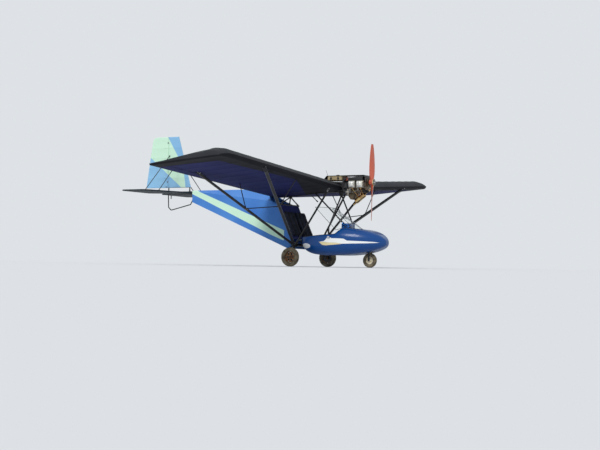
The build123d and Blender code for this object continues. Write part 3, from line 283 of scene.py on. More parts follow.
def draw_arc(mesh, start, middle, last, steps):
    """Draw an arc from a vertex through a middle point to a last one, and give the last vertex."""
    centre, turn = circle_through(start.co.xy, middle, last)
    spun = bmesh.ops.spin(
        mesh, geom=[start], cent=(*centre, 0), axis=(0, 0, 1), angle=turn, steps=steps, use_merge=False
    )
    return verts_of(spun["geom_last"])[0]


def face_out(mesh):
    """Turn the faces of a closed form outwards."""
    bmesh.ops.recalc_face_normals(mesh, faces=mesh.faces)


def weld(mesh, reach):
    """Merge the vertices that lie within reach of each other."""
    bmesh.ops.remove_doubles(mesh, verts=mesh.verts, dist=reach)


def draw_line(mesh, start, last, steps):
    """Draw a straight run of edges from a vertex to a last point, and give the last vertex."""
    for share in range(steps):
        step_on = (Vector((*last, 0)) - start.co) / (steps - share)
        run = bmesh.ops.extrude_vert_indiv(mesh, verts=[start])
        start = run["verts"][0]
        start.co += step_on
    return start


def draw_out(mesh, places, rings, put):
    """Extrude a closed outline ring by ring, each vertex placed from its first place, and close both ends."""
    bmesh.ops.contextual_create(mesh, geom=mesh.edges[:])
    ring = mesh.edges[:]
    put(places, rings[0])
    for each in rings[1:]:
        extruded = bmesh.ops.extrude_edge_only(mesh, edges=ring)["geom"]
        new = set(verts_of(extruded))
        places = {
            vert: places[edge.other_vert(vert)]
            for vert in new for edge in vert.link_edges if edge.other_vert(vert) in places
        }
        ring = [edge for edge in extruded if isinstance(edge, bmesh.types.BMEdge) and set(edge.verts) <= new]
        put(places, each)
    bmesh.ops.contextual_create(mesh, geom=ring)
    face_out(mesh)


def wing_stations():
    """Give each station along the span with how far its cloth stands proud."""
    bay = LAST_RIB / BAYS
    found = [(0, RIB_PROUD)]
    for number in range(BAYS):
        rib, next_rib = number * bay, (number + 1) * bay
        found += [(rib + TAPE_HALF, RIB_PROUD + TAPE_PROUD), (rib + TAPE_HALF + 0.001, RIB_PROUD)]
        for share in (0.12, 0.25, 0.38, 0.5, 0.62, 0.75, 0.88):
            sag = math.sin(math.pi * share) ** 0.7
            found.append((rib + share * bay, RIB_PROUD + (BAY_PROUD - RIB_PROUD) * sag))
        found += [(next_rib - TAPE_HALF - 0.001, RIB_PROUD), (next_rib - TAPE_HALF, RIB_PROUD + TAPE_PROUD)]
    found += [(LAST_RIB, RIB_PROUD + TAPE_PROUD), (LAST_RIB + 0.02, 0.003)]
    return found + [(out, 0.003 if number < 3 else 0) for number, (out, _, _) in enumerate(TIP_FORMS) if number]


def tip_form(out):
    """Give the share of the thickness and the nose's setback at a distance out along the span."""
    for (near, thick, back), (far, next_thick, next_back) in zip(TIP_FORMS, TIP_FORMS[1:]):
        if near <= out <= far:
            share = (out - near) / (far - near)
            return thick + (next_thick - thick) * share, back + (next_back - back) * share
    return 1, 0

def frame_of(x_way, y_way, z_way, place):
    """Give the matrix that lays the three axes along three ways at a place."""
    placed = Matrix((x_way, y_way, z_way)).transposed().to_4x4()
    placed.translation = place
    return placed


def wing_matrix(side):
    """Give the place of one wing: x aft along the chord, y up through the thickness, z out along the span."""
    sink = math.sin(INCIDENCE)
    aft = Vector((-math.cos(INCIDENCE), sink * math.sin(DIHEDRAL), -sink * math.cos(DIHEDRAL)))
    out = Vector((0, math.cos(DIHEDRAL), math.sin(DIHEDRAL)))
    return Matrix.Diagonal((1, side, 1, 1)) @ frame_of(aft, out.cross(aft), out, WING_ROOT)


def soften(piece, crease=35):
    """Shade a piece smooth but for edges sharper than the crease."""
    piece.data.shade_smooth()
    piece.data.set_sharp_from_angle(angle=math.radians(crease))


def make_piece(name, mesh, finishes, body="airframe", crease=35):
    """Turn a bmesh into a softened piece, of one finish or several, that rides on a body."""
    piece = add_mesh(name, mesh)
    for finish in finishes if isinstance(finishes, tuple) else (finishes,):
        piece.data.materials.append(finish)
    soften(piece, crease)
    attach(piece, body)
    return piece


def solved_mesh(piece):
    """Give a new mesh of a piece as its modifiers leave it."""
    bpy.context.view_layer.update()
    return bpy.data.meshes.new_from_object(piece.evaluated_get(bpy.context.evaluated_depsgraph_get()))


def cut_away(piece, cutter_mesh, operation="DIFFERENCE"):
    """Cut a closed form out of a piece, or keep only what is in it."""
    cutter = add_mesh("cutter", cutter_mesh)
    cut = piece.modifiers.new("cut", "BOOLEAN")
    cut.object = cutter
    cut.operation = operation
    cut.solver = "EXACT"
    shaped = solved_mesh(piece)
    piece.modifiers.clear()
    old = piece.data
    piece.data = shaped
    bpy.data.meshes.remove(old)
    bpy.data.objects.remove(cutter)


def past_line(line, aft, out):
    """Tell by its sign on which side of a line drawn on the wing's plan a place lies."""
    (aft_a, out_a), (aft_b, out_b) = line
    return (aft_b - aft_a) * (out - out_a) - (out_b - out_a) * (aft - aft_a)


def whole(mesh):
    """Give all of a mesh, as the operators take it."""
    return mesh.verts[:] + mesh.edges[:] + mesh.faces[:]


def draw_wing_cover():
    """Draw a wing's cover: the section's outline, drawn out over the ribs and closed at both ends."""
    mesh = bmesh.new()
    nose = mesh.verts.new((0, NOSE_HEIGHT, 0))
    shoulder = draw_arc(mesh, nose, (0.105, 0.8 * THICKNESS), (0.4, THICKNESS), 10)
    tail_top = draw_arc(mesh, shoulder, (0.985, 0.7 * THICKNESS), (CHORD, EDGE_HEIGHT), 16)
    tail_foot = draw_line(mesh, tail_top, (CHORD, 0), 1)
    belly = draw_line(mesh, tail_foot, (0.095, 0), 18)
    draw_arc(mesh, belly, (0.026, 0.017), (0, NOSE_HEIGHT), 6)
    weld(mesh, 0.0005)

    def stand_proud(places, station):
        out, proud = station
        thick, setback = tip_form(out)
        lift = max(0, TIP_FORMS[2][1] - thick) * 0.4 * THICKNESS
        for vert, place in places.items():
            above = 1 if place.y > 0.5 * THICKNESS * (1 - place.x / CHORD) * min(1, 8 * place.x + 0.6) else -1
            slack = min(1, max(0, (place.x - 0.1) / 0.25)) * min(1, max(0, (CHORD - place.x) / 0.2))
            stand = min(proud, 0.002) + max(0, proud - 0.002) * slack
            ahead = min(proud, 0.002) if place.x < 0.05 else 0
            vert.co = (
                setback + place.x * (1 - setback / CHORD) - ahead, place.y * thick + lift + above * stand, out
            )

    draw_out(mesh, {vert: vert.co.copy() for vert in mesh.verts}, wing_stations(), stand_proud)
    lines = (NOSE_LINE, SHADOW_WEDGE_LINE, TIP_LINE)
    for line in lines:
        (aft_a, out_a), (aft_b, out_b) = line
        across = (out_b - out_a, 0, aft_a - aft_b)
        bmesh.ops.bisect_plane(mesh, geom=whole(mesh), plane_co=(aft_a, 0, out_a), plane_no=across)
    for face in mesh.faces:
        middle = face.calc_center_median()
        if face.normal.y < -0.2 or (middle.x < 0.05 and middle.y < NOSE_HEIGHT):
            # Faces past the wedge line take the near black as painted shadow.
            nose, wedge, tip = (past_line(line, middle.x, middle.z) for line in lines)
            face.material_index = 2 if nose > 0 or wedge < 0 or tip > 0 else 1
    return mesh


def lay_box(mesh, corner, opposite, matrix=None):
    """Add a box between two opposite corners, in its own place or moved by a matrix."""
    low, high = (Vector(pick(pair) for pair in zip(corner, opposite)) for pick in (min, max))
    made = bmesh.ops.create_cube(mesh, size=1)["verts"]
    bmesh.ops.scale(mesh, vec=high - low, verts=made)
    bmesh.ops.translate(mesh, vec=(low + high) / 2, verts=made)
    if matrix:
        bmesh.ops.transform(mesh, matrix=matrix, verts=made)


def box_mesh(*corner_pairs):
    """Draw boxes, each between two corners."""
    mesh = bmesh.new()
    for corner, opposite in corner_pairs:
        lay_box(mesh, corner, opposite)
    return mesh


def weave(finish, threads, depth, across="Y"):
    """Raise the threads of a plain weave, along X and along another axis, a number to the metre."""
    threaded = {"Vector": step(finish, "TexCoord").outputs["Object"], "Scale": threads * math.tau / 20}
    along, over = (
        step(finish, "TexWave", threaded, wave_type="BANDS", bands_direction=way).outputs["Fac"]
        for way in ("X", across)
    )
    raise_bumps(finish, both(finish, along, over), depth, 0.6)


def both(finish, first, second):
    """Give the part that two shares have in common."""
    return step(finish, "Math", {0: first, 1: second}, operation="MULTIPLY").outputs[0]


def cloth_tone(finish, colour, lighter, scale=1.3):
    """Give a cloth its colour with the soft unevenness of dye and weather, and a dull face."""
    feed(finish, "Specular IOR Level", CLOTH_SHINE)
    return mix_tones(finish, spread(finish, noise_of(finish, scale, 5), 0.3, 0.7), colour, lighter)


def make_cloth(name, colour, lighter, roughness):
    """Make a plain woven cloth of one uneven colour."""
    cloth = start_finish(name, colour, roughness)
    feed(cloth, "Base Color", cloth_tone(cloth, colour, lighter))
    weave(cloth, 420, 0.0002)
    return cloth


wing_charcoal = make_cloth("wing_charcoal", seen(40, 42, 46), seen(54, 55, 59), 0.7)
wing_navy = make_cloth("wing_navy", seen(28, 31, 78), seen(36, 40, 94), 0.8)
# Near black cloth for the nose and the tip, and painted shadow on the inboard wedge.
wing_black_and_shadow = make_cloth("wing_black_and_shadow", seen(22, 22, 27), seen(31, 31, 37), 0.75)

for side_name, side in (("left", 1), ("right", -1)):
    for node in ("wing", "aileron"):
        dress(f"{node}_{side_name}", wing_charcoal)
    for node, (front, inner, outer), operation, body in (
        ("wing", AILERON_BAY, "DIFFERENCE", "airframe"),
        ("aileron", AILERON_SKIN, "INTERSECT", f"aileron_{side_name}"),
    ):
        cloths = (wing_charcoal, wing_navy, wing_black_and_shadow)
        cover = make_piece(f"{node}_cover_{side_name}", draw_wing_cover(), cloths, body)
        cut_away(cover, box_mesh(((front, -0.1, inner), (CHORD + 0.1, 0.3, outer))), operation)
        cover.data.transform(wing_matrix(side))
        if side < 0:
            cover.data.flip_normals()
        soften(cover, 25)
    aileron = nodes[f"aileron_{side_name}"]
    aileron.data.materials.append(wing_navy)
    for face in aileron.data.polygons:
        face.material_index = 1 if face.normal.z < -0.3 else 0
dress("wing_fairing", wing_black_and_shadow)

# Rear fuselage cover: one sock of blue cloth, laced along the boom and stretched over two lower rails.
# A mint stripe runs down each side and widens to the front.
COVER_FRONT_X = 1.07
COVER_REAR_X = -1.659
COVER_FRONT_HALF = ((0.044, 1.603), (0.402, 1.262), (0.424, 0.302))
COVER_REAR_HALF = ((0.044, 1.603), (0.084, 1.588), (0.084, 1.353))
COVER_FRAMES = (0, 0.26, 0.5, 0.75, 1)
COVER_SAG = 0.011
COVER_STEPS = 10
COVER_RINGS = 40
CLOTH_THICKNESS = 0.002
FRONT_EDGE = (
    (1.5, 0.1), (0.93, 0.1), (0.93, 0.352), (1.035, 0.462), (0.995, 0.56), (0.682, 1.245), (0.47, 1.345),
    (0.25, 1.52), (0.25, 1.9), (1.5, 1.9),
)
STRIPE_TOP = (1.03, -0.37)
STRIPE_FOOT = (0.813, -0.36)
STRIPE_NARROWING = (-1.65, 0.5, 0.115, 0)
STRIPE_FRONT_X = 0.8
LINE_SOFTNESS = 0.003
MINT = seen(206, 240, 214)


def push_out(mesh, faces, way):
    """Extrude faces as one along a way."""
    moved = verts_of(bmesh.ops.extrude_face_region(mesh, geom=faces)["geom"])
    bmesh.ops.translate(mesh, vec=way, verts=moved)


def lay_prism(mesh, outline, low_y, high_y):
    """Add a side view of x and z points, drawn out across the centre line."""
    face = mesh.faces.new([mesh.verts.new((x, low_y, z)) for x, z in outline])
    push_out(mesh, [face], (0, high_y - low_y, 0))


def whole_ring(half):
    """Give the corners of a section from its right half: right side first, then the left."""
    return [Vector((-y, z)) for y, z in half] + [Vector((y, z)) for y, z in reversed(half)]


def draw_rear_cover():
    """Draw the cover as a closed sock whose panels sag between the corners and the cross frames."""
    mesh = bmesh.new()
    front_ring, rear_ring = whole_ring(COVER_FRONT_HALF), whole_ring(COVER_REAR_HALF)
    last = mesh.verts.new((*front_ring[0], 0))
    for corner in front_ring[1:] + front_ring[:1]:
        last = draw_line(mesh, last, corner, COVER_STEPS)
    weld(mesh, 0.0005)
    places = {}
    for vert in mesh.verts:
        for side in range(6):
            a, b = front_ring[side], front_ring[(side + 1) % 6]
            share = (vert.co.xy - a).dot(b - a) / (b - a).length_squared
            if -1e-4 < share < 1 - 1e-4 and (a.lerp(b, share) - vert.co.xy).length < 1e-4:
                places[vert] = (side, share)

    def hang(places, along):
        before = max(level for level in COVER_FRAMES if level <= along + 1e-6)
        after = min(level for level in COVER_FRAMES if level >= along - 1e-6)
        bay = 0 if after == before else (along - before) / (after - before)
        for vert, (side, share) in places.items():
            start, end = (front_ring[i % 6].lerp(rear_ring[i % 6], along) for i in (side, side + 1))
            width = end - start
            inward = Vector((width.y, -width.x)).normalized()
            sag = COVER_SAG * min(1, width.length / 0.3) * math.sin(math.pi * share) ** 0.8
            point = start.lerp(end, share) - inward * sag * (0.25 + 0.75 * math.sin(math.pi * bay) ** 0.8)
            vert.co = (COVER_FRONT_X + (COVER_REAR_X - COVER_FRONT_X) * along, point.x, point.y)

    draw_out(mesh, places, [number / COVER_RINGS for number in range(COVER_RINGS + 1)], hang)
    return mesh


def axes_of(finish):
    """Give the outlets of the piece's own X, Y and Z."""
    return step(finish, "SeparateXYZ", {"Vector": step(finish, "TexCoord").outputs["Object"]}).outputs


def line_share(finish, axes, level, slope, above=True):
    """Give 1 above, or below, a sloping line in the side view, and 0 on its other side."""
    line = step(finish, "Math", {0: axes["X"], 1: slope, 2: level}, operation="MULTIPLY_ADD").outputs[0]
    over = step(finish, "Math", {0: axes["Z"], 1: line}, operation="SUBTRACT").outputs[0]
    return spread(finish, over, -LINE_SOFTNESS, LINE_SOFTNESS, *((0, 1) if above else (1, 0)))


def thicken(piece, thickness):
    """Give a sheet its thickness, behind its face."""
    piece.modifiers.new("thick", "SOLIDIFY").thickness = thickness


cover_cloth = start_finish("cover_cloth", seen(72, 128, 200), 0.5)
axes = axes_of(cover_cloth)
under_top = line_share(cover_cloth, axes, *STRIPE_TOP, above=False)
narrowing = spread(cover_cloth, axes["X"], *STRIPE_NARROWING)
lifted = step(cover_cloth, "Math", {0: axes["Z"], 1: narrowing}, operation="SUBTRACT").outputs[0]
over_foot = line_share(cover_cloth, {"X": axes["X"], "Z": lifted}, *STRIPE_FOOT)
front_ends = (STRIPE_FRONT_X - LINE_SOFTNESS, STRIPE_FRONT_X + LINE_SOFTNESS)
behind_front = spread(cover_cloth, axes["X"], *front_ends, 1, 0)
stripe = both(cover_cloth, both(cover_cloth, under_top, over_foot), behind_front)
blue_tone = cloth_tone(cover_cloth, seen(66, 120, 196), seen(84, 140, 208))
feed(cover_cloth, "Base Color", mix_tones(cover_cloth, stripe, blue_tone, MINT))
weave(cover_cloth, 420, 0.0002, "Z")

rear_cover = make_piece("rear_cover_cloth", draw_rear_cover(), cover_cloth)
front_cutter = bmesh.new()
lay_prism(front_cutter, FRONT_EDGE, -1, 1)
face_out(front_cutter)
cut_away(rear_cover, front_cutter)
opened = bmesh.new()
opened.from_mesh(rear_cover.data)
opened.normal_update()
bmesh.ops.delete(opened, geom=[face for face in opened.faces if face.normal.x > 0.15], context="FACES")
opened.to_mesh(rear_cover.data)
opened.free()
soften(rear_cover, 25)
thicken(rear_cover, CLOTH_THICKNESS)
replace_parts(rear_cover, "rear_cover")

# Tail surfaces: flat frames of aluminium tube with the same cloth drawn over both faces, so that it lies
# round on the edge tubes, falls in a little between the ribs and carries a tape on each.
# A broad mint band runs down from the rudder's head to the fin's foot. The tailplane is charcoal.
FIN_HALF = 0.014
SURFACE_HALF = 0.013
HINGE_X = -2.37
ELEVATOR_X = -2.306
HINGE_GAP = 0.019
BOOM_LEVEL = 1.556
FIN_LOW, FIN_HIGH = 1.676, 2.794
FIN_REAR, RUDDER_FRONT = HINGE_X + HINGE_GAP, HINGE_X + SURFACE_HALF
FIN_OUTLINE = ((-1.756, FIN_LOW), (-2.091, FIN_HIGH), (FIN_REAR, FIN_HIGH), (FIN_REAR, FIN_LOW))
RUDDER_OUTLINE = ((RUDDER_FRONT, FIN_LOW), (RUDDER_FRONT, FIN_HIGH), (-2.768, FIN_HIGH), (-2.94, FIN_LOW))
PLANE_REAR, ELEVATOR_FRONT = ELEVATOR_X + HINGE_GAP, ELEVATOR_X + SURFACE_HALF
STABILISER_OUTLINE = ((-1.677, 0.0383), (-2.072, 1.257), (PLANE_REAR, 1.257), (PLANE_REAR, 0.0383))
ELEVATOR_OUTLINE = ((ELEVATOR_FRONT, 0.062), (ELEVATOR_FRONT, 1.257), (-2.696, 1.257), (-2.696, 0.25))
TAIL_CORNER = 0.099
FIN_RIBS = (1.9, 2.12, 2.34, 2.56)
TAILPLANE_RIBS = (0.3, 0.54, 0.78, 1.02)
RIM_STEPS = 5
FRAME_SAG = 0.005
TAIL_TAPE_HALF = 0.012
TAIL_TAPE_PROUD = 0.0012
RUDDER_HINGES = [Vector((HINGE_X, 0, z)) for z in (1.806, 2.235, 2.664)]
ELEVATOR_HINGE_YS = (0.192, 0.6595, 1.127)
ELEVATOR_HINGES = [Vector((ELEVATOR_X, side * y, BOOM_LEVEL)) for side in (1, -1) for y in ELEVATOR_HINGE_YS]
NOTCH_DEPTH = 0.036
NOTCH_HEIGHT = 0.032
BAND_FOOT = (0.06, -0.81)
BAND_TOP = (-1.012, -1.603)
BAND_EDGE = ((-1.887, 1.659), -0.144)


def rim_distance(place, outline):
    """Give how far a place lies inside the nearest edge of an outline."""
    found = []
    for a, b in zip(outline, outline[1:] + outline[:1]):
        a, b = Vector(a), Vector(b)
        share = min(1, max(0, (place - a).dot(b - a) / (b - a).length_squared))
        found.append((a.lerp(b, share) - place).length)
    return min(found)


def stretch_cover(outline, half, ribs, rounded):
    """Draw a cloth cover over both faces of a flat frame, its ribs along X at given distances."""
    mesh = bmesh.new()
    corners = [mesh.verts.new((x, y, 0)) for x, y in outline]
    middle = mesh.faces.new(corners)
    if rounded:
        bmesh.ops.bevel(
            mesh, geom=[corners[number] for number in rounded], offset=TAIL_CORNER, segments=8, profile=0.5,
            affect="VERTICES", material=-1,
        )
        middle = mesh.faces[:][0]
    for number in range(RIM_STEPS):
        here, there = (math.pi / 2 * share / RIM_STEPS for share in (number, number + 1))
        inset = half * (math.cos(here) - math.cos(there))
        bmesh.ops.inset_region(mesh, faces=[middle], thickness=inset, use_even_offset=True, use_boundary=True)
        for vert in middle.verts:
            vert.co.z = half * math.sin(there)
    xs, ys = ([point[axis] for point in outline] for axis in (0, 1))
    ends = [min(ys), *ribs, max(ys)]
    levels = [((1, 0, 0), min(xs) + 0.05 * n) for n in range(1, int((max(xs) - min(xs)) / 0.05))]
    for low, high in zip(ends, ends[1:]):
        levels += [((0, 1, 0), low + (high - low) * share) for share in (0.15, 0.32, 0.5, 0.68, 0.85)]
    for rib in ribs:
        for way in (-1, 1):
            levels += [((0, 1, 0), rib + way * width) for width in (TAIL_TAPE_HALF, TAIL_TAPE_HALF + 0.001)]
    for normal, level in levels:
        bmesh.ops.bisect_plane(mesh, geom=whole(mesh), plane_co=(level, level, 0), plane_no=normal)
    for vert in mesh.verts:
        if vert.co.z < half - 1e-5:
            continue
        low = max([end for end in ends if end <= vert.co.y], default=ends[0])
        high = min([end for end in ends if end > low], default=ends[-1])
        bay = math.sin(math.pi * (vert.co.y - low) / (high - low))
        inside = min(1, max(0, (rim_distance(vert.co.xy, outline) - half) / 0.09))
        taped = any(abs(vert.co.y - rib) < TAIL_TAPE_HALF + 0.0005 for rib in ribs)
        vert.co.z += (TAIL_TAPE_PROUD if taped else 0) * min(1, inside * 8) - FRAME_SAG * max(0, bay) * inside
    bmesh.ops.mirror(mesh, geom=whole(mesh), axis="Z", merge_dist=0.0002)
    weld(mesh, 0.0002)
    face_out(mesh)
    return mesh


def hang_cover(node, mesh, cloth, body, hinges, notch):
    """Hang a tail surface's cover in place of its packed form, and notch it round its hinges."""
    face_out(mesh)
    cover = make_piece(f"{node}_cover", mesh, cloth, body)
    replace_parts(cover, node)
    if hinges:
        half = Vector(notch) / 2
        cut_away(cover, box_mesh(*((at - half, at + half) for at in hinges)))
        soften(cover)


tail_cloth = start_finish("tail_cloth", seen(140, 188, 224), 0.6)
axes = axes_of(tail_cloth)
over_foot = line_share(tail_cloth, axes, *BAND_FOOT)
band = both(tail_cloth, over_foot, line_share(tail_cloth, axes, *BAND_TOP, above=False))
(edge_x, edge_z), edge_slope = BAND_EDGE
swapped = {"X": axes["Z"], "Z": axes["X"]}
behind_edge = line_share(tail_cloth, swapped, edge_x - edge_slope * edge_z, edge_slope, above=False)
sky_tone = cloth_tone(tail_cloth, seen(132, 182, 222), seen(150, 198, 230))
feed(tail_cloth, "Base Color", mix_tones(tail_cloth, both(tail_cloth, band, behind_edge), sky_tone, MINT))
weave(tail_cloth, 420, 0.0002, "Z")
tailplane_cloth = make_cloth("tailplane_cloth", seen(24, 36, 44), seen(38, 50, 58), 0.55)

upright = Matrix(((1, 0, 0, 0), (0, 0, 1, 0), (0, 1, 0, 0), (0, 0, 0, 1)))
for node, outline, half, rounded, body, hinges in (
    ("fin", FIN_OUTLINE, FIN_HALF, (), "airframe", ()),
    ("rudder", RUDDER_OUTLINE, SURFACE_HALF, (2,), "rudder", RUDDER_HINGES),
):
    mesh = stretch_cover(outline, half, FIN_RIBS, rounded)
    bmesh.ops.transform(mesh, matrix=upright, verts=mesh.verts)
    hang_cover(node, mesh, tail_cloth, body, hinges, (NOTCH_DEPTH, NOTCH_DEPTH, NOTCH_HEIGHT))
for node, outline, half, rounded, body, hinges in (
    ("stabiliser", STABILISER_OUTLINE, FIN_HALF, (1,), "airframe", ()),
    ("elevator", ELEVATOR_OUTLINE, SURFACE_HALF, (2,), "elevator", ELEVATOR_HINGES),
):
    mesh = stretch_cover(outline, half, TAILPLANE_RIBS, rounded)
    bmesh.ops.translate(mesh, vec=(0, 0, BOOM_LEVEL), verts=mesh.verts)
    bmesh.ops.mirror(mesh, geom=whole(mesh), axis="Y", merge_dist=0)
    notch = (NOTCH_DEPTH, NOTCH_HEIGHT, NOTCH_DEPTH)
    hang_cover(node, mesh, tailplane_cloth, body, hinges, notch)

# Tail fittings: steel hinge lugs with their pins, the sleeves that the bracing struts plug into, the two
# posts that carry the fin above the boom, and the root clamps of the tailplane, all bolted through.
LUG_REACH, LUG_THICKNESS, LUG_HEIGHT = 0.027, 0.014, 0.02
PIN_RADIUS = 0.004
PIN_LENGTH = 0.076
STRUT_ENDS = (
    ((-2.265, 0.985, BOOM_LEVEL), (-2.322, 0, 2.39)), ((-1.99, 0.87, BOOM_LEVEL), (-2.06, 0, 2.3)),
)
STRUT_END_REACH = 0.04
STRUT_END_RADIUS = 0.012
POST_XS = (-2.337, -1.784)
POST_FOOT = 1.594
CLAMP_XS = (-1.73, -2.25)
CLAMP_FOOT, CLAMP_TOP = 1.571, 1.574


def turned_to(way, place, front="Z", top="Y"):
    """Give the matrix that stands at a place with one axis turned along a way."""
    turned = way.to_track_quat(front, top).to_matrix().to_4x4()
    turned.translation = place
    return turned


def lay_rod(mesh, start, end, radius, end_radius=None, sides=20):
    """Add a round bar, or a cone, between two points."""
    start, end = Vector(start), Vector(end)
    end_radius = radius if end_radius is None else end_radius
    bmesh.ops.create_cone(
        mesh, cap_ends=True, segments=sides, radius1=radius, radius2=end_radius, depth=(end - start).length,
        matrix=turned_to(end - start, (start + end) / 2),
    )


def lay_bolt(mesh, place, way, size):
    """Add a hexagon bolt's head on its washer, seen from the way it points; its size is across the flats."""
    place, way = Vector(place), Vector(way).normalized()
    lay_rod(mesh, place, place + way * size * 0.16, size * 0.95, sides=24)
    lay_rod(mesh, place + way * size * 0.16, place + way * size * 0.75, size * 0.577, sides=6)


fittings = bmesh.new()
for hinges, span, size in (
    (RUDDER_HINGES, Vector((0, 0, 1)), Vector((0, LUG_THICKNESS, LUG_HEIGHT))),
    (ELEVATOR_HINGES, Vector((0, 1, 0)), Vector((0, LUG_HEIGHT, LUG_THICKNESS))),
):
    for at in hinges:
        lay_box(fittings, at - size / 2, at + size / 2 + Vector((LUG_REACH, 0, 0)))
        lay_rod(fittings, at - span * LUG_HEIGHT / 2, at + span * LUG_HEIGHT / 2, LUG_THICKNESS / 2)
        lay_rod(fittings, at - span * PIN_LENGTH / 2, at + span * PIN_LENGTH / 2, PIN_RADIUS, sides=12)
for foot, head in STRUT_ENDS:
    for side in (1, -1):
        foot_on, head_on = Vector((foot[0], side * foot[1], foot[2])), Vector(head)
        way = (head_on - foot_on).normalized()
        for start, toward in ((foot_on, way), (head_on, -way)):
            lay_rod(fittings, start, start + toward * STRUT_END_REACH, STRUT_END_RADIUS)
            for out in (1, -1):
                lay_bolt(fittings, start + toward * 0.026 + Vector((out * 0.012, 0, 0)), (out, 0, 0), 0.008)
for x in POST_XS:
    lay_rod(fittings, (x, 0, POST_FOOT), (x, 0, POST_FOOT + 0.146), 0.012)
    lay_rod(fittings, (x, 0, POST_FOOT), (x, 0, POST_FOOT + 0.018), 0.018)
    for way in (1, -1):
        lay_bolt(fittings, (x, way * 0.012, POST_FOOT + 0.046), (0, way, 0), 0.009)
for x in CLAMP_XS:
    for way in (1, -1):
        lay_box(fittings, (x - 0.016, way * 0.038, CLAMP_FOOT), (x + 0.016, way * 0.112, CLAMP_TOP))
        lay_bolt(fittings, (x, way * 0.092, CLAMP_TOP), (0, 0, 1), 0.009)
make_piece("tail_fittings", fittings, powder_coat)

# Control horns: plates of 4 mm aluminium sheet. One lies across the rudder's foot, its nose cut back to swing
# clear of the fin's post. One hangs from the elevator's cross tube, which passes through the boom.
HORN = ((0.013, 0.0105), (0.003, 0.019), (0.006, 0.115), (-0.006, 0.122), (-0.014, 0.115), (-0.03, 0.012))
HORN_NOSE = (0.0165, 0)
HORN_PLATE = 0.004
HORN_LEVEL = 1.7
bare_metal = start_finish("bare_metal", seen(196, 196, 194), 0.32, metallic=1)
vary_gloss(bare_metal, 60, 0.22, 0.42)
horns = bmesh.new()
horn_outline = (HORN_NOSE, *HORN, *((x, -y) for x, y in reversed(HORN)))
plate = horns.faces.new([horns.verts.new((HINGE_X + x, y, HORN_LEVEL)) for x, y in horn_outline])
push_out(horns, [plate], (0, 0, HORN_PLATE))
for way in (1, -1):
    lay_bolt(horns, (HINGE_X - 0.002, way * 0.112, HORN_LEVEL + HORN_PLATE), (0, 0, 1), 0.007)
face_out(horns)
make_piece("rudder_horn", horns, bare_metal, "rudder")
cross_tube = bmesh.new()
lay_rod(cross_tube, (ELEVATOR_X, -0.092, BOOM_LEVEL), (ELEVATOR_X, 0.092, BOOM_LEVEL), 0.01)
for way in (1, -1):
    lay_rod(cross_tube, (ELEVATOR_X, way * 0.046, BOOM_LEVEL), (ELEVATOR_X, way * 0.061, BOOM_LEVEL), 0.016)
lay_box(cross_tube, (ELEVATOR_X - 0.014, 0.049, BOOM_LEVEL - 0.12), (ELEVATOR_X + 0.014, 0.053, BOOM_LEVEL))
lay_bolt(cross_tube, (ELEVATOR_X, 0.053, BOOM_LEVEL - 0.108), (0, 1, 0), 0.007)
make_piece("elevator_cross_tube", cross_tube, bare_metal, "elevator")

# Pod: glass fibre shell in glossy blue gelcoat, with a white flash edged in gold and a blank oval plate, both
# of thin film, on each side; the white is partly painted sun glint. The console is of the same shell.
# The screen is a sheet of clear polycarbonate.
# The white flash is partly a graphic and partly painted highlight: its tall blob near the rear point is a sun
# glint.
FLASH_WHITE_AND_GLINT = (
    (1.695, 0.501), (1.82, 0.513), (1.868, 0.552), (1.905, 0.6), (1.94, 0.606), (1.985, 0.571),
    (2.142, 0.569), (2.235, 0.563), (2.305, 0.525), (2.564, 0.517), (2.76, 0.508), (2.86, 0.496),
    (2.78, 0.484), (2.565, 0.474), (2.285, 0.466), (2.201, 0.464), (2.087, 0.483), (1.917, 0.486),
    (1.831, 0.497),
)
FLASH_GOLD = (
    (1.717, 0.492), (1.831, 0.505), (1.917, 0.492), (2.087, 0.49), (2.21, 0.468), (2.201, 0.46),
    (2.088, 0.447), (1.975, 0.439), (1.861, 0.427), (1.789, 0.438), (1.746, 0.467),
)
OVAL_CENTRE = (1.4, 0.418)
OVAL_HALVES = (0.11, 0.05)
FILM = 0.0008
FILM_STEP = 0.012
FAR_OUT = 2
SCREEN_INDEX = 1.12


def lay_film(name, mesh, finish, way, proud=FILM):
    """Lay a film, drawn flat in the side view, on the pod: cut fine, then pushed across onto its side."""
    for normal, reach in ((Vector((1, 0, 0)), 3), (Vector((0, 0, 1)), 2)):
        for number in range(int(-reach / FILM_STEP), int(reach / FILM_STEP)):
            at = normal * (number * FILM_STEP)
            bmesh.ops.bisect_plane(mesh, geom=whole(mesh), plane_co=at, plane_no=normal)
    for vert in mesh.verts:
        hit, place, normal, _ = nodes["pod"].ray_cast((vert.co.x, -FAR_OUT * way, vert.co.z), (0, way, 0))
        if hit:
            vert.co = place + normal * proud
    bmesh.ops.delete(mesh, geom=[vert for vert in mesh.verts if abs(vert.co.y) > 1], context="VERTS")
    for face in mesh.faces:
        face.normal_update()
        if face.normal.y * way > 0:
            face.normal_flip()
    thicken(make_piece(name, mesh, finish), proud * 0.9)


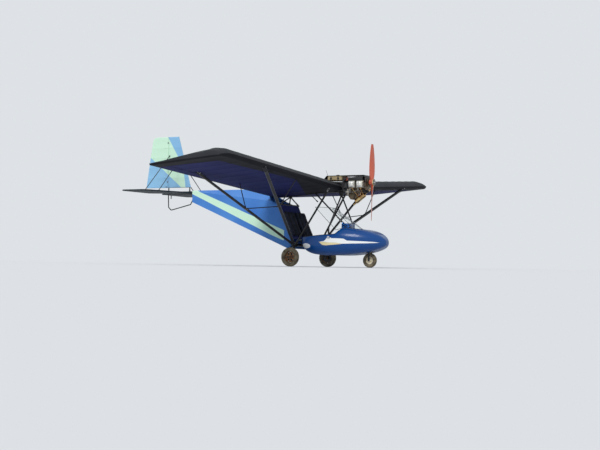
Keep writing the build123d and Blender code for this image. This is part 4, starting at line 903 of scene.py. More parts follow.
gelcoat = start_finish("gelcoat", seen(4, 68, 134), 0.28, coat=0.2)
feed(gelcoat, "Specular IOR Level", 0.3)
raise_grain(gelcoat, 30, 0.0006)
dress("pod", gelcoat)
dress("console", gelcoat)
film_gold = start_finish("film_gold", seen(232, 218, 168), 0.35)
# White film for the blank plate and for the flash, whose tall blob is a painted sun glint.
film_white_and_glint = start_finish("film_white_and_glint", seen(244, 246, 244), 0.35)
for side_name, way in (("right", 1), ("left", -1)):
    for name, outline, film, proud in (
        ("flash_gold", FLASH_GOLD, film_gold, FILM), ("flash_white_and_glint", FLASH_WHITE_AND_GLINT, film_white_and_glint, 2 * FILM),
    ):
        mesh = bmesh.new()
        mesh.faces.new([mesh.verts.new((x, -FAR_OUT * way, z)) for x, z in outline])
        lay_film(f"{name}_{side_name}", mesh, film, way, proud)
    mesh = bmesh.new()
    bmesh.ops.create_circle(mesh, cap_ends=True, segments=48, radius=1)
    bmesh.ops.scale(mesh, vec=(*OVAL_HALVES, 1), verts=mesh.verts)
    bmesh.ops.rotate(mesh, matrix=Matrix.Rotation(math.pi / 2, 3, "X"), verts=mesh.verts)
    bmesh.ops.translate(mesh, vec=(OVAL_CENTRE[0], -FAR_OUT * way, OVAL_CENTRE[1]), verts=mesh.verts)
    lay_film(f"blank_plate_{side_name}", mesh, film_white_and_glint, way)
screen_sheet = start_finish("screen_sheet", (0.96, 0.98, 0.98, 1), 0.03)
feed(screen_sheet, "Transmission Weight", 1)
feed(screen_sheet, "IOR", SCREEN_INDEX)
dress("windscreen", screen_sheet)

# Cockpit edge and screen edge: a rubber bead pushed over the cut rim of the shell, and a dark trim bonded
# round the screen's rim.
RIM_CUT = ((2.122, 0.735), (2.05, 0.655), (1.74, 0.634), (1.44, 0.604), (1.18, 0.59))
RIM_STEP = 0.03
BEAD_RADIUS = 0.006
TRIM_RADIUS = 0.0045


def start_mottled(name, colour, roughness, darker, lighter, scale, metallic=0):
    """Start a finish whose colour varies softly between two tones."""
    finish = start_finish(name, colour, roughness, metallic)
    mottle(finish, darker, lighter, scale)
    return finish


def round_edges(mesh, edges, radius, segments=3):
    """Round edges to a radius."""
    bmesh.ops.bevel(
        mesh, geom=edges, offset=radius, segments=segments, profile=0.5, affect="EDGES", material=-1
    )


def lay_rounded(mesh, corner, opposite, radius, segments=3):
    """Add a box with rounded edges between two opposite corners."""
    before = set(mesh.verts)
    lay_box(mesh, corner, opposite)
    new = [vert for vert in mesh.verts if vert not in before]
    edges = list({edge for vert in new for edge in vert.link_edges})
    round_edges(mesh, edges, radius, segments)


def lay_pipe(mesh, points, radius, sides=14, per_span=6):
    """Add a bent pipe of one thickness that passes smoothly through its points."""
    route = bpy.data.curves.new("route", "CURVE")
    route.dimensions = "3D"
    run = route.splines.new("NURBS")
    run.points.add(len(points) - 1)
    for point, place in zip(run.points, points):
        point.co = (*place, 1)
    run.order_u = 3
    run.use_endpoint_u = True
    run.resolution_u = per_span
    route.bevel_depth = radius
    route.bevel_resolution = max(1, sides // 4 - 1)
    route.use_fill_caps = True
    holder = bpy.data.objects.new("route", route)
    drawn = bpy.data.meshes.new_from_object(holder)
    before = set(mesh.verts)
    mesh.from_mesh(drawn)
    bmesh.ops.remove_doubles(mesh, verts=[vert for vert in mesh.verts if vert not in before], dist=1e-6)
    bpy.data.objects.remove(holder)
    bpy.data.curves.remove(route)
    bpy.data.meshes.remove(drawn)


def rim_loops(node):
    """Give the sharp rims of a packed sheet as chains of places, found on a merged copy of its mesh."""
    copy = bmesh.new()
    copy.from_mesh(nodes[node].data)
    weld(copy, 1e-5)
    sharp = {edge for edge in copy.edges if len(edge.link_faces) == 2 and edge.calc_face_angle(0) > 1}
    chains = []
    while sharp:
        chain = list(sharp.pop().verts)
        for end in (-1, 0):
            while (edge := next((near for near in chain[end].link_edges if near in sharp), None)) is not None:
                sharp.remove(edge)
                chain.insert(len(chain) if end else 0, edge.other_vert(chain[end]))
        chains.append([vert.co.copy() for vert in chain])
    copy.free()
    return chains


satin_black = start_mottled("satin_black", seen(24, 25, 27), 0.45, seen(20, 21, 23), seen(40, 41, 43), 20)
rubber = start_finish("rubber", seen(34, 34, 36), 0.7)
vary_gloss(rubber, 40, 0.6, 0.8)
bead = bmesh.new()
for way in (1, -1):
    places = []
    for (x, z), (next_x, next_z) in zip(RIM_CUT, RIM_CUT[1:]):
        count = max(1, int((x - next_x) / RIM_STEP))
        for number in range(count):
            share = number / count
            at_x, at_z = x + (next_x - x) * share, z + (next_z - z) * share
            hit, place, _, _ = nodes["pod"].ray_cast((at_x, FAR_OUT * way, at_z - 0.008), (0, -way, 0))
            if hit and abs(place.y) > 0.1:
                places.append(Vector((place.x, place.y - way * 0.002, at_z)))
    lay_pipe(bead, places, BEAD_RADIUS, sides=10, per_span=2)
make_piece("cockpit_bead", bead, rubber)
trim = bmesh.new()
for chain in rim_loops("windscreen"):
    if sum((second - first).length for first, second in zip(chain, chain[1:])) > 0.5:
        lay_pipe(trim, chain, TRIM_RADIUS, sides=8, per_span=1)
make_piece("screen_trim", trim, satin_black)

# Console face: four round instruments in black bezels with pale plain faces and marks, and a row of switches.
DIAL_PLACES = ((-0.05, 0.815), (0.05, 0.815), (-0.05, 0.745), (0.05, 0.745))
DIAL_RADIUS = 0.026
SWITCH_YS = (-0.06, -0.02, 0.02, 0.06)
SWITCH_LEVEL = 0.69
dial_pale = start_mottled("dial_pale", seen(224, 222, 210), 0.4, seen(214, 212, 200), seen(232, 230, 220), 60)
bezels, faces, marks = bmesh.new(), bmesh.new(), bmesh.new()
for y, z in DIAL_PLACES:
    hit, place, normal, _ = nodes["console"].ray_cast((1.5, y, z), (1, 0, 0))
    if hit:
        turned = turned_to(normal, place)
        lay_rod(bezels, place, place + normal * 0.006, DIAL_RADIUS, DIAL_RADIUS * 0.94, sides=32)
        lay_rod(faces, place + normal * 0.006, place + normal * 0.0066, DIAL_RADIUS * 0.82, sides=32)
        for number in range(10):
            spoke = Matrix.Rotation(math.tau * number / 12 + 0.5, 4, "Z")
            lay_box(marks, (-0.0008, 0.0155, 0.0066), (0.0008, 0.0195, 0.0072), turned @ spoke)
        needle = Matrix.Rotation(1.1 + 9 * y + 5 * z, 4, "Z")
        lay_box(marks, (-0.001, -0.004, 0.0066), (0.001, 0.016, 0.0076), turned @ needle)
for y in SWITCH_YS:
    hit, place, normal, _ = nodes["console"].ray_cast((1.5, y, SWITCH_LEVEL), (1, 0, 0))
    if hit:
        root = place + normal * 0.003
        lay_rod(bezels, place, root, 0.008, sides=6)
        lay_rod(marks, root, root + normal * 0.011 + Vector((0, 0, 0.004)), 0.0025, 0.0035, sides=12)
make_piece("dial_bezels", bezels, satin_black)
make_piece("dial_faces", faces, dial_pale)
make_piece("dial_marks", marks, rubber)

# Seats: on a black sheet pan, two foam squabs and two backrests in sewn dark cloth, with a piped seam round
# each, a lap belt with its metal buckle and two shoulder straps. The cloth is cut a little small and the foam
# swells it, so the pads are blown up by a cloth simulation.
PAD_INSET = 0.008
PAD_CAP = 0.013
PAD_VOXEL = 0.006
PAD_FRAMES = 20
PAD_PRESSURE = 4
CHANNEL_DEPTH = 0.006
CHANNEL_WIDTH = 0.006
PIPING_SIDES = 72
SQUAB_SIZE = Vector((0.436, 0.43, 0.0897))
SQUAB_CENTRE = Vector((1.412, 0.228, 0.50945))
BACK_FOOT = Vector((1.015, 0, 0.56))
BACK_ALONG = Vector((-0.311, 0, 0.702)).normalized()
BACK_NORMAL = Vector((BACK_ALONG.z, 0, -BACK_ALONG.x))
RIGHTWARD = Vector((0, -1, 0))
REST_SIZE = Vector((0.56, 0.43, 0.06))
REST_LIFT = 0.04
REST_GAP = 0.0003
PANEL_HALF_DEPTH = 0.011
BELT_WIDTH = 0.045
seat_cloth = start_finish("seat_cloth", seen(44, 48, 62), 0.8)
feed(seat_cloth, "Base Color", cloth_tone(seat_cloth, seen(36, 40, 54), seen(54, 58, 74), 6))
weave(seat_cloth, 500, 0.0004)
webbing = start_finish("webbing", seen(30, 31, 34), 0.75)
feed(webbing, "Base Color", cloth_tone(webbing, seen(26, 27, 30), seen(44, 45, 48), 20))
weave(webbing, 700, 0.0004)


def plump(mesh, size):
    """Remesh a pad's cut shape and swell it under pressure as cloth, within the cap and the pad's box."""
    pad = add_mesh("pad", mesh)
    remesh = pad.modifiers.new("remesh", "REMESH")
    remesh.mode = "VOXEL"
    remesh.voxel_size = PAD_VOXEL
    fine = solved_mesh(pad)
    pad.modifiers.clear()
    pad.data = fine
    start = [vert.co.copy() for vert in fine.vertices]
    swollen = start
    cloth = pad.modifiers.new("cloth", "CLOTH")
    cloth.settings.use_pressure = True
    cloth.settings.uniform_pressure_force = PAD_PRESSURE
    cloth.settings.effector_weights.gravity = 0
    cloth.point_cache.frame_start = 1
    cloth.point_cache.frame_end = PAD_FRAMES
    for number in range(1, PAD_FRAMES + 1):
        bpy.context.scene.frame_set(number)
    solved = pad.evaluated_get(bpy.context.evaluated_depsgraph_get()).data
    swollen = [vert.co.copy() for vert in solved.vertices]
    pad.modifiers.clear()
    bpy.context.scene.frame_set(1)
    result = bmesh.new()
    result.from_mesh(fine)
    for vert, before, after in zip(result.verts, start, swollen):
        moved = after - before
        if moved.length > PAD_CAP:
            moved = moved.normalized() * PAD_CAP
        vert.co = Vector(max(-limit, min(limit, part)) for limit, part in zip(size / 2, before + moved))
    bpy.data.objects.remove(pad)
    return result


def draw_pad(size, channels):
    """Draw a pad round its own centre, swell it, and sew channels across its upper face."""
    cut = bmesh.new()
    inset = Vector((PAD_INSET, PAD_INSET, PAD_INSET))
    lay_rounded(cut, inset - size / 2, size / 2 - inset, size.z * 0.32, 4)
    pad = plump(cut, size)
    for vert in pad.verts:
        if vert.co.z > 0:
            for place in channels:
                off = (vert.co.x - place * size.x) / CHANNEL_WIDTH
                vert.co.z -= CHANNEL_DEPTH * math.exp(-off * off)
    return pad


def lay_piping(mesh, pad, level, matrix):
    """Lay the piped seam round a pad, where a ring of rays meets its side at one level."""
    surface = BVHTree.FromBMesh(pad)
    seam = []
    for number in range(PIPING_SIDES + 1):
        turn = math.tau * number / PIPING_SIDES
        way = Vector((math.cos(turn), math.sin(turn), 0))
        hit = surface.ray_cast(Vector((0, 0, level)) + way, -way)[0]
        if hit:
            seam.append(matrix @ (hit + way * 0.0015))
    lay_pipe(mesh, seam, 0.0035, sides=8, per_span=2)


def lay_strap(mesh, surface, places, across, towards):
    """Lay a flat strap over a pad: each place, and the strap's width there, is dropped onto the pad."""
    rows = []
    for place in places:
        hits = [surface.ray_cast(place + across * share, towards)[0] for share in (-0.5, 0, 0.5)]
        if all(hits):
            rows.append([mesh.verts.new(hit - towards * 0.002) for hit in hits])
    for first, second in zip(rows, rows[1:]):
        for number in range(2):
            mesh.faces.new((first[number], first[number + 1], second[number + 1], second[number]))


squab_shape = draw_pad(SQUAB_SIZE, (-0.17, 0.17))
rest_shape = draw_pad(REST_SIZE, (-0.25, 0, 0.25))
dress("seat_pan", powder_coat)
for side_name, side in (("left", 1), ("right", -1)):
    y = side * SQUAB_CENTRE.y
    middle = BACK_FOOT + BACK_ALONG * (REST_LIFT + REST_SIZE.x / 2)
    middle += BACK_NORMAL * (PANEL_HALF_DEPTH + REST_GAP + REST_SIZE.z / 2) + Vector((0, y, 0))
    squab_matrix = Matrix.Translation((SQUAB_CENTRE.x, y, SQUAB_CENTRE.z))
    rest_matrix = frame_of(BACK_ALONG, RIGHTWARD, BACK_NORMAL, middle)
    straps, piping, buckle = bmesh.new(), bmesh.new(), bmesh.new()
    for node, shape, size, matrix in (
        (f"squab_{side_name}", squab_shape, SQUAB_SIZE, squab_matrix),
        (f"backrest_{side_name}", rest_shape, REST_SIZE, rest_matrix),
    ):
        lay_piping(piping, shape, size.z * 0.2, matrix)
        pad = shape.copy()
        bmesh.ops.transform(pad, matrix=matrix, verts=pad.verts)
        surface = BVHTree.FromBMesh(pad)
        if shape == squab_shape:
            belt = [Vector((1.29, y + number * 0.018, 1)) for number in range(-11, 12)]
            lay_strap(straps, surface, belt, Vector((BELT_WIDTH, 0, 0)), Vector((0, 0, -1)))
        else:
            for off in (-0.085, 0.085):
                start = middle + Vector((0, off, 0)) + BACK_NORMAL * 0.3
                harness = [start + BACK_ALONG * number * 0.02 for number in range(-12, 14)]
                lay_strap(straps, surface, harness, Vector((0, BELT_WIDTH, 0)), -BACK_NORMAL)
        piece = make_piece(f"{node}_pad", pad, seat_cloth, crease=60)
        smooth = piece.modifiers.new("smooth", "SUBSURF")
        smooth.levels = 1
        smooth.render_levels = 1
        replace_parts(piece, node)
    make_piece(f"seat_piping_{side_name}", piping, rubber)
    thicken(make_piece(f"seat_belts_{side_name}", straps, webbing), 0.0014)
    top = SQUAB_CENTRE.z + SQUAB_SIZE.z / 2
    lay_rounded(buckle, (1.262, y - 0.035, top - 0.001), (1.318, y + 0.035, top + 0.015), 0.005)
    lay_rounded(buckle, (1.278, y - 0.01, top + 0.014), (1.302, y + 0.01, top + 0.0175), 0.0015)
    make_piece(f"belt_buckle_{side_name}", buckle, bare_metal)
squab_shape.free()
rest_shape.free()

# Back panel: a stiff board in navy cloth, quilted in squares, under a black cross tube with the sleeves for
# the stays. It closes the cockpit behind the seats.
PANEL_HALF_WIDTH = 0.372
PANEL_LENGTH = 0.7678
QUILT = 0.124
QUILT_DEPTH = 0.0035
BACK_TOP = Vector((0.704, 0.4, 1.262))
STAY_APEX = Vector((0.73, 0, 1.432))
panel_cloth = start_finish("panel_cloth", seen(36, 46, 104), 0.6)
feed(panel_cloth, "Base Color", cloth_tone(panel_cloth, seen(30, 38, 92), seen(48, 58, 122), 2))
weave(panel_cloth, 420, 0.0002, "Z")
panel = bmesh.new()
bmesh.ops.create_grid(panel, x_segments=62, y_segments=60, size=0.5)
bmesh.ops.scale(panel, vec=(PANEL_LENGTH, 2 * PANEL_HALF_WIDTH, 1), verts=panel.verts)
bmesh.ops.translate(panel, vec=(PANEL_LENGTH / 2, 0, -PANEL_HALF_DEPTH), verts=panel.verts)
push_out(panel, panel.faces[:], (0, 0, 2 * PANEL_HALF_DEPTH))
face_out(panel)
for vert in panel.verts:
    along, across = vert.co.x / QUILT, (vert.co.y + PANEL_HALF_WIDTH) / QUILT
    puff = abs(math.sin(math.pi * along) * math.sin(math.pi * across))
    vert.co.z -= math.copysign(QUILT_DEPTH * (1 - puff ** 0.4), vert.co.z)
leaning = frame_of(BACK_ALONG, RIGHTWARD, BACK_NORMAL, BACK_FOOT)
bmesh.ops.transform(panel, matrix=leaning, verts=panel.verts)
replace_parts(make_piece("back_panel", panel, panel_cloth), "seat_back")
rail = bmesh.new()
rail_ends = [BACK_TOP * Vector((1, side, 1)) for side in (1, -1)]
lay_rod(rail, rail_ends[1], rail_ends[0], 0.015, sides=28)
for start, reach in zip((*rail_ends, BACK_TOP * Vector((1, 0, 1))), (0.09, 0.09, 0.04)):
    lay_rod(rail, start, start + (STAY_APEX - start).normalized() * reach, 0.017, sides=28)
for end, side in zip(rail_ends, (1, -1)):
    lay_rod(rail, end, end + Vector((0, side * 0.004, 0)), 0.0145, 0.011, sides=28)
make_piece("back_rail", rail, powder_coat)

# Strut ends: forked plates of bright alloy at the wing and at the cross beam, each with its through bolts,
# and clamps where the jury struts meet the main ones.
WING_AFT = Vector((-0.99635, 0.00611, -0.0852))
WING_OUT = Vector((0, 0.99744, 0.0715))
WING_UP = WING_OUT.cross(WING_AFT)
BEAM_END = Vector((1.137, 0.551, 0.429))
BEAM_INNER = Vector((1.137, 0.505, 0.429))
JURY_SHARE = 0.52
FORK_LENGTH = 0.09
FORK_HALF = 0.015
FORK_PLATE = 0.003


def on_wing(aft, up, out):
    """Give a place on the left wing from its distances aft, up and out."""
    return WING_ROOT + WING_AFT * aft + WING_UP * up + WING_OUT * out


def lay_fork(mesh, end, other, gap):
    """Lay a pair of plates on both sides of a tube's end, along the tube, with two bolts through them."""
    turned = turned_to(other - end, end, "X", "Z")
    for way in (1, -1):
        outside = way * (gap + FORK_PLATE)
        lay_box(mesh, (-0.012, way * gap, -FORK_HALF), (FORK_LENGTH, outside, FORK_HALF), turned)
        for along in (0.014, 0.068):
            lay_bolt(mesh, turned @ Vector((along, outside, 0)), turned.to_3x3() @ Vector((0, way, 0)), 0.011)


forks, clamps = bmesh.new(), bmesh.new()
for side in (1, -1):
    mirrored = Vector((1, side, 1))
    foot = BEAM_END * mirrored
    for head, gap in ((on_wing(0.05, 0.02, 3.04), 0.026), (on_wing(1.265, 0.008, 3.39), 0.024)):
        head = head * mirrored
        lay_fork(forks, head, foot, gap)
        lay_fork(forks, foot.lerp(head, 0.012), head, gap)
        middle = foot.lerp(head, JURY_SHARE)
        along = (head - foot).normalized()
        for off in (-0.02, 0.02):
            lay_rod(clamps, middle + along * (off - 0.004), middle + along * (off + 0.004), 0.026, sides=28)
        lay_bolt(clamps, middle + Vector((0, 0, 0.026)), (0, 0, 1), 0.009)
    lay_fork(forks, on_wing(0.11, 0.008, 0.35) * mirrored, BEAM_INNER * mirrored, 0.017)
make_piece("strut_forks", forks, bare_metal)
make_piece("jury_clamps", clamps, bare_metal)

# Aerial and roof handle: a thin black whip on the plate behind the engine, and a short bent bar that hangs
# under the wing's middle, both a little right of the centre line.
aerial = bmesh.new()
lay_rod(aerial, (1.623, -0.05, 1.834), (1.619, -0.05, 1.846), 0.012, 0.007)
lay_rod(aerial, (1.619, -0.05, 1.846), (1.567, -0.05, 1.973), 0.0035, 0.002, sides=12)
grip = ((1.233, -0.05, 1.459), (1.3, -0.05, 1.41), (1.36, -0.05, 1.35), (1.394, -0.05, 1.326))
lay_pipe(aerial, grip, 0.008, sides=12)
lay_rod(aerial, (1.36, -0.05, 1.35), (1.396, -0.05, 1.324), 0.0125, 0.0115)
make_piece("aerial_and_handle", aerial, rubber)

# Engine: four air-cooled cylinders lying flat in two pairs on a cast crankcase, with bright rocker covers and
# a silencer of heat-tinted steel slung below on four pipes. The gearbox in front has the crankcase's finish.
GEAR_AXIS = 1.7
CRANK_AXIS = 1.655
CYLINDER_XS = (2.43, 2.254)
HEAD_FACE = 0.2543
HEAD_HALF = 0.063
CASE_SIDE = 0.1
COVER_PROUD = 0.056
PLUG_X = 0.03
FIN_COUNT = 5
FIN_PITCH = 0.011
FIN_REACH = 0.069
cast_metal = start_mottled(
    "cast_metal", seen(168, 164, 156), 0.42, seen(128, 122, 112), seen(192, 188, 178), 18, metallic=0.85
)
raise_grain(cast_metal, 700, 0.0002)
case_metal = start_mottled(
    "case_metal", seen(96, 84, 68), 0.5, seen(64, 56, 46), seen(132, 116, 92), 16, metallic=0.6
)
bright_metal = start_finish("bright_metal", seen(240, 238, 230), 0.3, metallic=0.7)
vary_gloss(bright_metal, 60, 0.2, 0.4)
exhaust_metal = start_mottled(
    "exhaust_metal", seen(200, 164, 106), 0.32, seen(142, 92, 56), seen(232, 204, 142), 9, metallic=1
)
tank_skin = start_mottled("tank_skin", seen(176, 158, 118), 0.5, seen(160, 140, 100), seen(190, 174, 138), 7)
box_paint = start_mottled("box_paint", seen(136, 62, 46), 0.45, seen(112, 48, 38), seen(150, 74, 54), 16)
for node, finish, slot in (
    ("engine_block", case_metal, "engine_metal"), ("engine_cylinders", cast_metal, "engine_metal"),
    ("exhaust", exhaust_metal, "exhaust_metal"), ("engine_cowl", satin_black, "black_cover"),
    ("fuel_tank", tank_skin, "tank_plastic"), ("air_box", box_paint, "box_paint"),
):
    dress(node, finish)

covers, fins, plugs, leads, runners = (bmesh.new() for _ in range(5))
for x in CYLINDER_XS:
    for side in (1, -1):
        inner, seat = side * (HEAD_FACE - 0.004), side * (HEAD_FACE + 0.002)
        cap_corner = (x + 0.052, side * (HEAD_FACE + COVER_PROUD), CRANK_AXIS + 0.05)
        lay_rounded(covers, (x - 0.052, inner, CRANK_AXIS - 0.05), cap_corner, 0.026, 5)
        lay_box(
            covers, (x - 0.06, inner - side * 0.004, CRANK_AXIS - 0.058), (x + 0.06, seat, CRANK_AXIS + 0.058)
        )
        for across, high in ((-1, -1), (-1, 1), (1, -1), (1, 1)):
            lay_bolt(covers, (x + across * 0.055, seat, CRANK_AXIS + high * 0.053), (0, side, 0), 0.008)
        for number in range(FIN_COUNT):
            y = side * (HEAD_FACE - 0.054 + number * FIN_PITCH)
            far_corner = (x + FIN_REACH, y + side * 0.0035, CRANK_AXIS + FIN_REACH)
            lay_box(fins, (x - FIN_REACH, y, CRANK_AXIS - FIN_REACH), far_corner)
        for way in (1, -1):
            foot = Vector((x + way * PLUG_X, side * (HEAD_FACE - 0.03), CRANK_AXIS + HEAD_HALF))
            lay_rod(plugs, foot, foot + Vector((0, 0, 0.012)), 0.011, sides=6)
            lay_rod(plugs, foot + Vector((0, 0, 0.012)), foot + Vector((0, 0, 0.03)), 0.006, sides=12)
            top = foot + Vector((0, 0, 0.028))
            lay_rod(leads, top, top + Vector((0, 0, 0.034)), 0.0095, 0.0075, sides=14)
            lead = [
                top + Vector((0, 0, 0.03)), top + Vector((0, -side * 0.01, 0.055)),
                (x + way * 0.02, side * 0.13, 1.775), (x - 0.03, side * 0.085, 1.768),
                (2.2, side * 0.07, 1.762), (2.15, side * 0.065, 1.73),
            ]
            lay_pipe(leads, lead, 0.0035, sides=8)
        for high in (-1, 1):
            rod_foot = Vector((x + 0.03 * high, side * CASE_SIDE, CRANK_AXIS - 0.058))
            lay_rod(covers, rod_foot, rod_foot + Vector((0, side * 0.1, 0)), 0.0075, sides=14)
        runner = [
            (x - 0.045, side * 0.225, CRANK_AXIS - HEAD_HALF + 0.004),
            (x - 0.05, side * 0.225, CRANK_AXIS - 0.1), (x - 0.06, side * 0.2, CRANK_AXIS - 0.125),
            (2.2, side * 0.13, CRANK_AXIS - 0.15), (2.16, side * 0.09, CRANK_AXIS - 0.15),
        ]
        lay_pipe(runners, runner, 0.016)
make_piece("rocker_covers", covers, bright_metal)
make_piece("head_fins", fins, cast_metal)
make_piece("spark_plugs", plugs, bright_metal)
make_piece("plug_leads", leads, rubber)
make_piece("intake_pipes", runners, cast_metal)

# Carburettors: two float-bowl bodies behind the intake pipes, each on a rubber socket with an air hose that
# climbs to the box on the mount tubes; clamps of thin steel hold the hose ends.
CARBURETTOR_X = 2.1
CARBURETTOR_LEVEL = CRANK_AXIS - 0.15
carburettors, hoses, clamps = (bmesh.new() for _ in range(3))
for side in (1, -1):
    x, y, level = CARBURETTOR_X, side * 0.09, CARBURETTOR_LEVEL
    lay_rod(hoses, (x + 0.065, y, level), (x + 0.03, y, level), 0.021)
    lay_rod(carburettors, (x + 0.03, y, level), (x - 0.03, y, level), 0.025)
    bowl_top = (x + 0.024, y + 0.024, level - 0.012)
    lay_rounded(carburettors, (x - 0.022, y - 0.024, level - 0.06), bowl_top, 0.008)
    lay_rod(carburettors, (x, y, level), (x, y, level + 0.055), 0.02)
    lay_rod(carburettors, (x, y, level + 0.055), (x, y, level + 0.068), 0.023, 0.016)
    lay_rod(carburettors, (x, y, level - 0.06), (x, y, level - 0.07), 0.01, sides=6)
    hose = [
        (2.075, y, level), (2.03, y, level), (2.005, side * 0.105, level + 0.03), (2.0, side * 0.125, 1.62),
        (2.01, side * 0.13, 1.74), (2.04, side * 0.125, 1.772), (2.06, side * 0.1, 1.775),
    ]
    lay_pipe(hoses, hose, 0.021, sides=20)
    for x in (2.155, 2.066):
        lay_rod(clamps, (x, y, level), (x - 0.01, y, level), 0.0225, sides=28)
        lay_box(clamps, (x - 0.009, y - 0.006, level + 0.02), (x - 0.001, y + 0.006, level + 0.03))
make_piece("carburettors", carburettors, cast_metal)
make_piece("air_hoses", hoses, rubber)
make_piece("hose_clamps", clamps, bare_metal)

# Cooling ducts: black moulded glass fibre over each pair of cylinders, open to the front, with a rolled lip.
DUCT = ((2.165, 1.722), (2.165, 1.768), (2.2, 1.79), (2.44, 1.812), (2.485, 1.812), (2.485, 1.728))
ducts = bmesh.new()
for side in (1, -1):
    lay_prism(ducts, DUCT, side * 0.112, side * 0.243)
face_out(ducts)
round_edges(ducts, ducts.edges[:], 0.009)
for mouth in [face for face in ducts.faces if face.normal.x > 0.99 and face.calc_area() > 0.004]:
    bmesh.ops.inset_region(ducts, faces=[mouth], thickness=0.004)
    push_out(ducts, [mouth], (-0.09, 0, -0.004))
    bmesh.ops.delete(ducts, geom=[mouth], context="FACES_ONLY")
face_out(ducts)
make_piece("cooling_ducts", ducts, satin_black)

# Crankcase fittings: gearbox bolts, side ribs, breather and dipstick, and the oil cooler with its pipes under
# the front. The ribs are cast with the case, and the rest is bolted or screwed to it.
GEARBOX_FACE = 2.4781
GEARBOX_BOLT_CIRCLE = 0.066


def round_places(count, radius, first=0):
    """Give places evenly spaced round a circle, from a first turn, as two distances from its centre."""
    turns = [math.tau * number / count + first for number in range(count)]
    return [(radius * math.cos(turn), radius * math.sin(turn)) for turn in turns]


case_parts = bmesh.new()
for across, high in round_places(8, GEARBOX_BOLT_CIRCLE, 0.2):
    lay_bolt(case_parts, (GEARBOX_FACE, across, GEAR_AXIS + high), (1, 0, 0), 0.008)
for side in (1, -1):
    for x in (2.2, 2.342, 2.48):
        lay_box(case_parts, (x - 0.004, side * 0.098, 1.575), (x + 0.004, side * 0.106, 1.725))
    for x in (2.215, 2.3, 2.385, 2.465):
        for z in (1.585, 1.72):
            lay_bolt(case_parts, (x, side * CASE_SIDE, z), (0, side, 0), 0.009)
lay_rod(case_parts, (2.3, 0.03, 1.745), (2.3, 0.03, 1.79), 0.012)
lay_rod(case_parts, (2.3, 0.03, 1.79), (2.3, 0.03, 1.8), 0.018, sides=8)
lay_rod(case_parts, (2.36, -0.04, 1.745), (2.36, -0.04, 1.775), 0.016)
make_piece("case_fittings", case_parts, cast_metal)
cooler = bmesh.new()
lay_box(cooler, (2.436, -0.085, 1.495), (2.466, 0.085, 1.545))
for number in range(17):
    y = -0.08 + number * 0.01
    lay_box(cooler, (2.432, y, 1.498), (2.47, y + 0.0015, 1.542))
for side in (1, -1):
    lay_rod(cooler, (2.451, side * 0.085, 1.52), (2.451, side * 0.1, 1.52), 0.024)
    pipe = ((2.451, 0.1, 1.52), (2.44, 0.125, 1.52), (2.4, 0.12, 1.535), (2.36, 0.1, 1.56))
    lay_pipe(cooler, [(x, side * y, z) for x, y, z in pipe], 0.007, sides=10)
make_piece("oil_cooler", cooler, satin_black)

# Silencer fittings: a welded seam round each end, the flanges that bolt the pipes under the heads, springs
# that hold the pipes in their cups, and two steel bands with straps up to the crankcase.
SILENCER_FRONT = Vector((2.425, 0, 1.465))
SILENCER_REAR = Vector((2.235, 0, 1.322))
SILENCER_RADIUS = 0.052
SPRING_WIRE = 0.0011
SPRING_RADIUS = 0.0045
SPRING_STEPS = 60
exhaust_parts, springs = bmesh.new(), bmesh.new()
run_way = (SILENCER_REAR - SILENCER_FRONT).normalized()


def lay_band(share, half_width, proud):
    """Lay a band round the silencer, at a share of its length, and give its centre."""
    place = SILENCER_FRONT.lerp(SILENCER_REAR, share)
    across = run_way * half_width
    lay_rod(exhaust_parts, place - across, place + across, SILENCER_RADIUS + proud, sides=36)
    return place


for share in (0.09, 0.91):
    lay_band(share, 0.004, 0.002)
for x, share in zip(CYLINDER_XS, (0.2, 0.6)):
    for side in (1, -1):
        port = Vector((x, side * 0.215, CRANK_AXIS - HEAD_HALF))
        lay_box(exhaust_parts, port - Vector((0.03, 0.017, 0.008)), port + Vector((0.03, 0.017, 0)))
        for way in (1, -1):
            lay_bolt(exhaust_parts, port + Vector((way * 0.023, 0, -0.008)), (0, 0, -1), 0.008)
        cup = SILENCER_FRONT.lerp(SILENCER_REAR, share)
        along = (port - Vector((0, 0, 0.03)) - cup).normalized()
        lay_rod(exhaust_parts, cup + along * 0.05, cup + along * 0.085, 0.0205)
        lay_rod(exhaust_parts, cup + along * 0.085, cup + along * 0.089, 0.0225)
        start, end = cup + along * 0.047 + Vector((0.027, 0, 0)), cup + along * 0.118 + Vector((0.024, 0, 0))
        turned = (end - start).to_track_quat("Z", "Y").to_matrix()
        coil = springs.verts.new(start + Vector((0, 0, 0.005)))
        for number in range(SPRING_STEPS):
            turn = math.tau * number / 10
            offset = turned @ Vector((SPRING_RADIUS * math.cos(turn), SPRING_RADIUS * math.sin(turn), 0))
            coil = bmesh.ops.extrude_vert_indiv(springs, verts=[coil])["verts"][0]
            coil.co = start.lerp(end, number / (SPRING_STEPS - 1)) + offset
for share in (0.3, 0.75):
    place = lay_band(share, 0.009, 0.0012)
    strap_foot = place + Vector((-0.009, -0.002, SILENCER_RADIUS - 0.002))
    lay_box(exhaust_parts, strap_foot, place + Vector((0.009, 0.002, 0.13)))
make_piece("exhaust_fittings", exhaust_parts, exhaust_metal)
wire = make_piece("exhaust_springs", springs, bare_metal)
wire.modifiers.new("wire", "SKIN").use_smooth_shade = True
for point in wire.data.skin_vertices[0].data:
    point.radius = (SPRING_WIRE, SPRING_WIRE)

